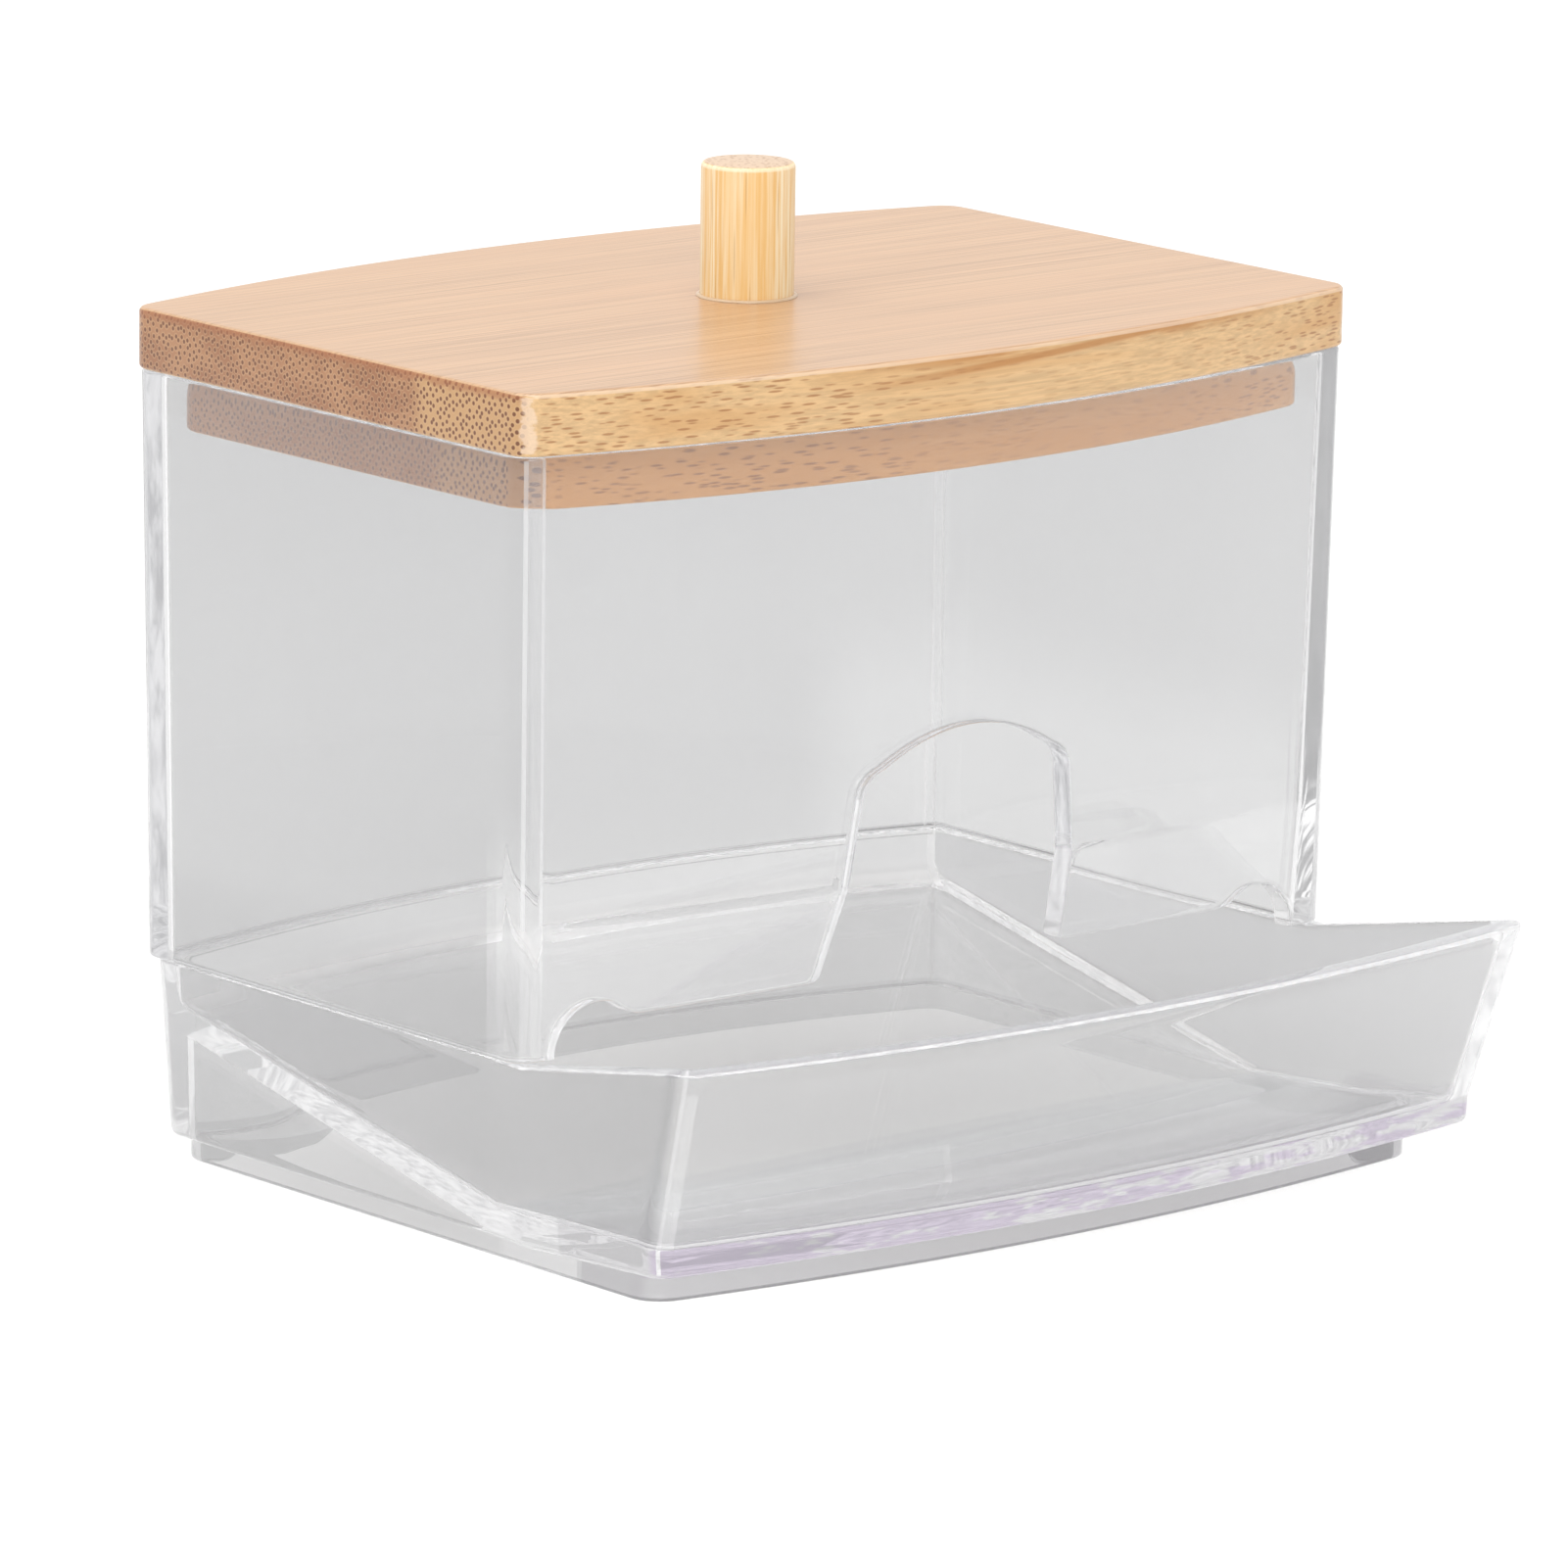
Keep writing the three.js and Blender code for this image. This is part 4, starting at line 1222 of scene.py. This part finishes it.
# Painted highlight along the rounded upper edge
DOWEL_ARRIS_HIGHLIGHT = (0.95, 0.8, 0.58, 0.6)
DOWEL_STREAKS = dict(sizes=(0.42, 0.42, 22), detail=4, rough=0.7)
DOWEL_STREAK_STEP = (0.36, 0.64)
DOWEL_BROADS = dict(sizes=(2.4, 2.4, 40), detail=1, step=(0.45, 0.7))
DOWEL_LINES = dict(sizes=(0.42, 0.42, 14), step=(0.26, 0.12))
DOWEL_PORES = dict(sizes=(0.55, 0.55, 30), step=(0.42, 0.15))
DOWEL_END_STEP = (0.85, 0.97)
DOWEL_ROUGHNESS = (0.12, 0.34)
GLUE_PLAIN = (0.93, 0.82, 0.66)
GLUE_DARK = (0.74, 0.5, 0.29)
GLUE_PALE = (0.86, 0.66, 0.46)
GLUE_CLOUD = dict(sizes=(0.9, 0.9, 0.9), detail=3)
GLUE_ROUGHNESS = 0.3
GLUE_CLEAR_SHARE = 0.25
GLUE_STRENGTH = 0.4
GLUE_DEPTH = 0.1


def dowel_material():
    """Bamboo dowel: upright orange and pale streaks, with an end-grain top and a painted highlight
    along its rounded upper edge.
    """
    made, nodes = new_material("bamboo_dowel_wood", DOWEL_PLAIN, WOOD_ROUGHNESS)
    upward = nodes.facing("Z")
    streaks = nodes.noise(**DOWEL_STREAKS)
    side = nodes.layers(
        nodes.mix(nodes.between(streaks, *DOWEL_STREAK_STEP), DOWEL_ORANGE, DOWEL_PALE),
        (nodes.noise(**DOWEL_BROADS), DOWEL_BROAD),
        (nodes.cells(**DOWEL_LINES), DOWEL_LINE),
    )
    end = nodes.mix(nodes.cells(**DOWEL_PORES), DOWEL_END_LIGHT, DOWEL_END_PORE)
    colour = nodes.mix(nodes.between(upward, *DOWEL_END_STEP), side, end)
    nodes.surface(
        Base_Color=nodes.layers(colour, (arris_of(nodes, upward), DOWEL_ARRIS_HIGHLIGHT)),
        Roughness=nodes.math("MULTIPLY_ADD", streaks, *DOWEL_ROUGHNESS),
        Normal=nodes.bump(GRAIN_STRENGTH, GRAIN_DEPTH, streaks),
    )
    return made


def glue_material():
    """Clear glue that has dried a little milky."""
    made, nodes = new_material("dried_glue", GLUE_PLAIN, GLUE_ROUGHNESS)
    cloud = nodes.noise(**GLUE_CLOUD)
    nodes.surface(
        Base_Color=nodes.mix(cloud, GLUE_DARK, GLUE_PALE),
        Roughness=GLUE_ROUGHNESS,
        Transmission_Weight=GLUE_CLEAR_SHARE,
        Normal=nodes.bump(GLUE_STRENGTH, GLUE_DEPTH, cloud),
    )
    return made


# The pieces

hopper_clear = clear_material("clear_hopper_plastic", **HOPPER_LOOK)
base_clear = clear_material("clear_base_plastic", of_base=True, **BASE_LOOK)
# The second material paints highlight lines down the corners of the base and the hopper
edge_highlight_clear = clear_material("clear_painted_edge_highlight", **EDGE_HIGHLIGHT_LOOK)
board_wood = board_material()
dowel_wood = dowel_material()
glue = glue_material()

pieces = [
    (make_base(), "base_tray", "box", "clear_plastic", (base_clear, edge_highlight_clear)),
    (make_hopper(), "hopper", "box", "clear_plastic", (hopper_clear, edge_highlight_clear)),
    (make_lid(), "lid_board", "lid", "bamboo_board", (board_wood,)),
    (make_dowel(), "handle_dowel", "lid", "bamboo_dowel", (dowel_wood,)),
]
for piece, node, body, finish, looks in pieces:
    for look in looks:
        piece.data.materials.append(look)
    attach(piece, body)
    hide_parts(node)

bead = make_bead()
bead.data.materials.append(glue)
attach(bead, "lid")


# Floor, surround and lights: for each light its place, its size and its power

FLOOR_SIZE = 9000
FLOOR_WHITE = (0.95, 0.95, 0.95)
FLOOR_ROUGHNESS = 0.8
WHITE = (1, 1, 1)
SURROUND_LIGHT = 0.75
LIGHTS = {
    "overhead_light": ((-250, 150, 1300), 1300, 12),
    "front_light": ((-900, -1300, 900), 900, 7),
}


def make_floor():
    """A broad pale floor under the object."""
    mesh = bpy.data.meshes.new("studio_floor")
    half = FLOOR_SIZE / 2 * MILLI
    corners = [(-half, -half, 0), (half, -half, 0), (half, half, 0), (-half, half, 0)]
    mesh.from_pydata(corners, [], [range(len(corners))])
    floor = new_object("studio_floor", mesh)
    made, nodes = new_material("studio_white", FLOOR_WHITE, FLOOR_ROUGHNESS)
    nodes.surface(Base_Color=FLOOR_WHITE, Roughness=FLOOR_ROUGHNESS, Specular_IOR_Level=0)
    mesh.materials.append(made)


def make_world():
    """An even white surround, weaker where it only lights."""
    world = bpy.data.worlds.new("white_surround")
    bpy.context.scene.world = world
    nodes = Nodes(world, "OutputWorld")
    path = nodes.add("LightPath").outputs
    seen = nodes.either(path["Is Camera Ray"], path["Is Glossy Ray"])
    seen = nodes.either(seen, path["Is Transmission Ray"])
    soft, white = (nodes.add("Background", Color=WHITE, Strength=strength)
                   for strength in (SURROUND_LIGHT, 1))
    nodes.finish(nodes.blend(seen, soft, white))


def make_light(name, place, size, power):
    """A soft square light aimed at the object."""
    light = bpy.data.lights.new(name, "AREA")
    light.shape = "SQUARE"
    light.size = size * MILLI
    light.energy = power
    lamp = new_object(name, light)
    target = Vector((0, LID_SHIFT, SEAM_HEIGHT)) * MILLI
    spot = Vector(place) * MILLI
    turn = (spot - target).to_track_quat("Z", "Y").to_matrix().to_4x4()
    lamp.matrix_world = Matrix.Translation(spot) @ turn


def make_camera():
    """The camera of the photograph."""
    azimuth, elevation, roll = map(radians, CAMERA_TURNS)
    set_back, across, upward = CAMERA_MOVES
    back = Vector((sin(azimuth) * cos(elevation), -cos(azimuth) * cos(elevation), sin(elevation)))
    right = Vector((cos(azimuth), sin(azimuth), 0))
    up = back.cross(right)
    turned_right = right * cos(roll) + up * sin(roll)
    turned_up = up * cos(roll) - right * sin(roll)
    place = back * set_back + right * across + up * upward + Vector((0, LID_SHIFT, LID_TOP))
    data = bpy.data.cameras.new("photo_camera")
    data.sensor_width = CAMERA_SENSOR
    data.lens = CAMERA_LENS
    camera = new_object("photo_camera", data)
    axes = Matrix((turned_right, turned_up, back)).transposed().to_4x4()
    camera.matrix_world = Matrix.Translation(place * MILLI) @ axes
    bpy.context.scene.camera = camera


make_floor()
make_world()
for name, light in LIGHTS.items():
    make_light(name, *light)
make_camera()
bpy.context.scene.view_settings.view_transform = "Standard"
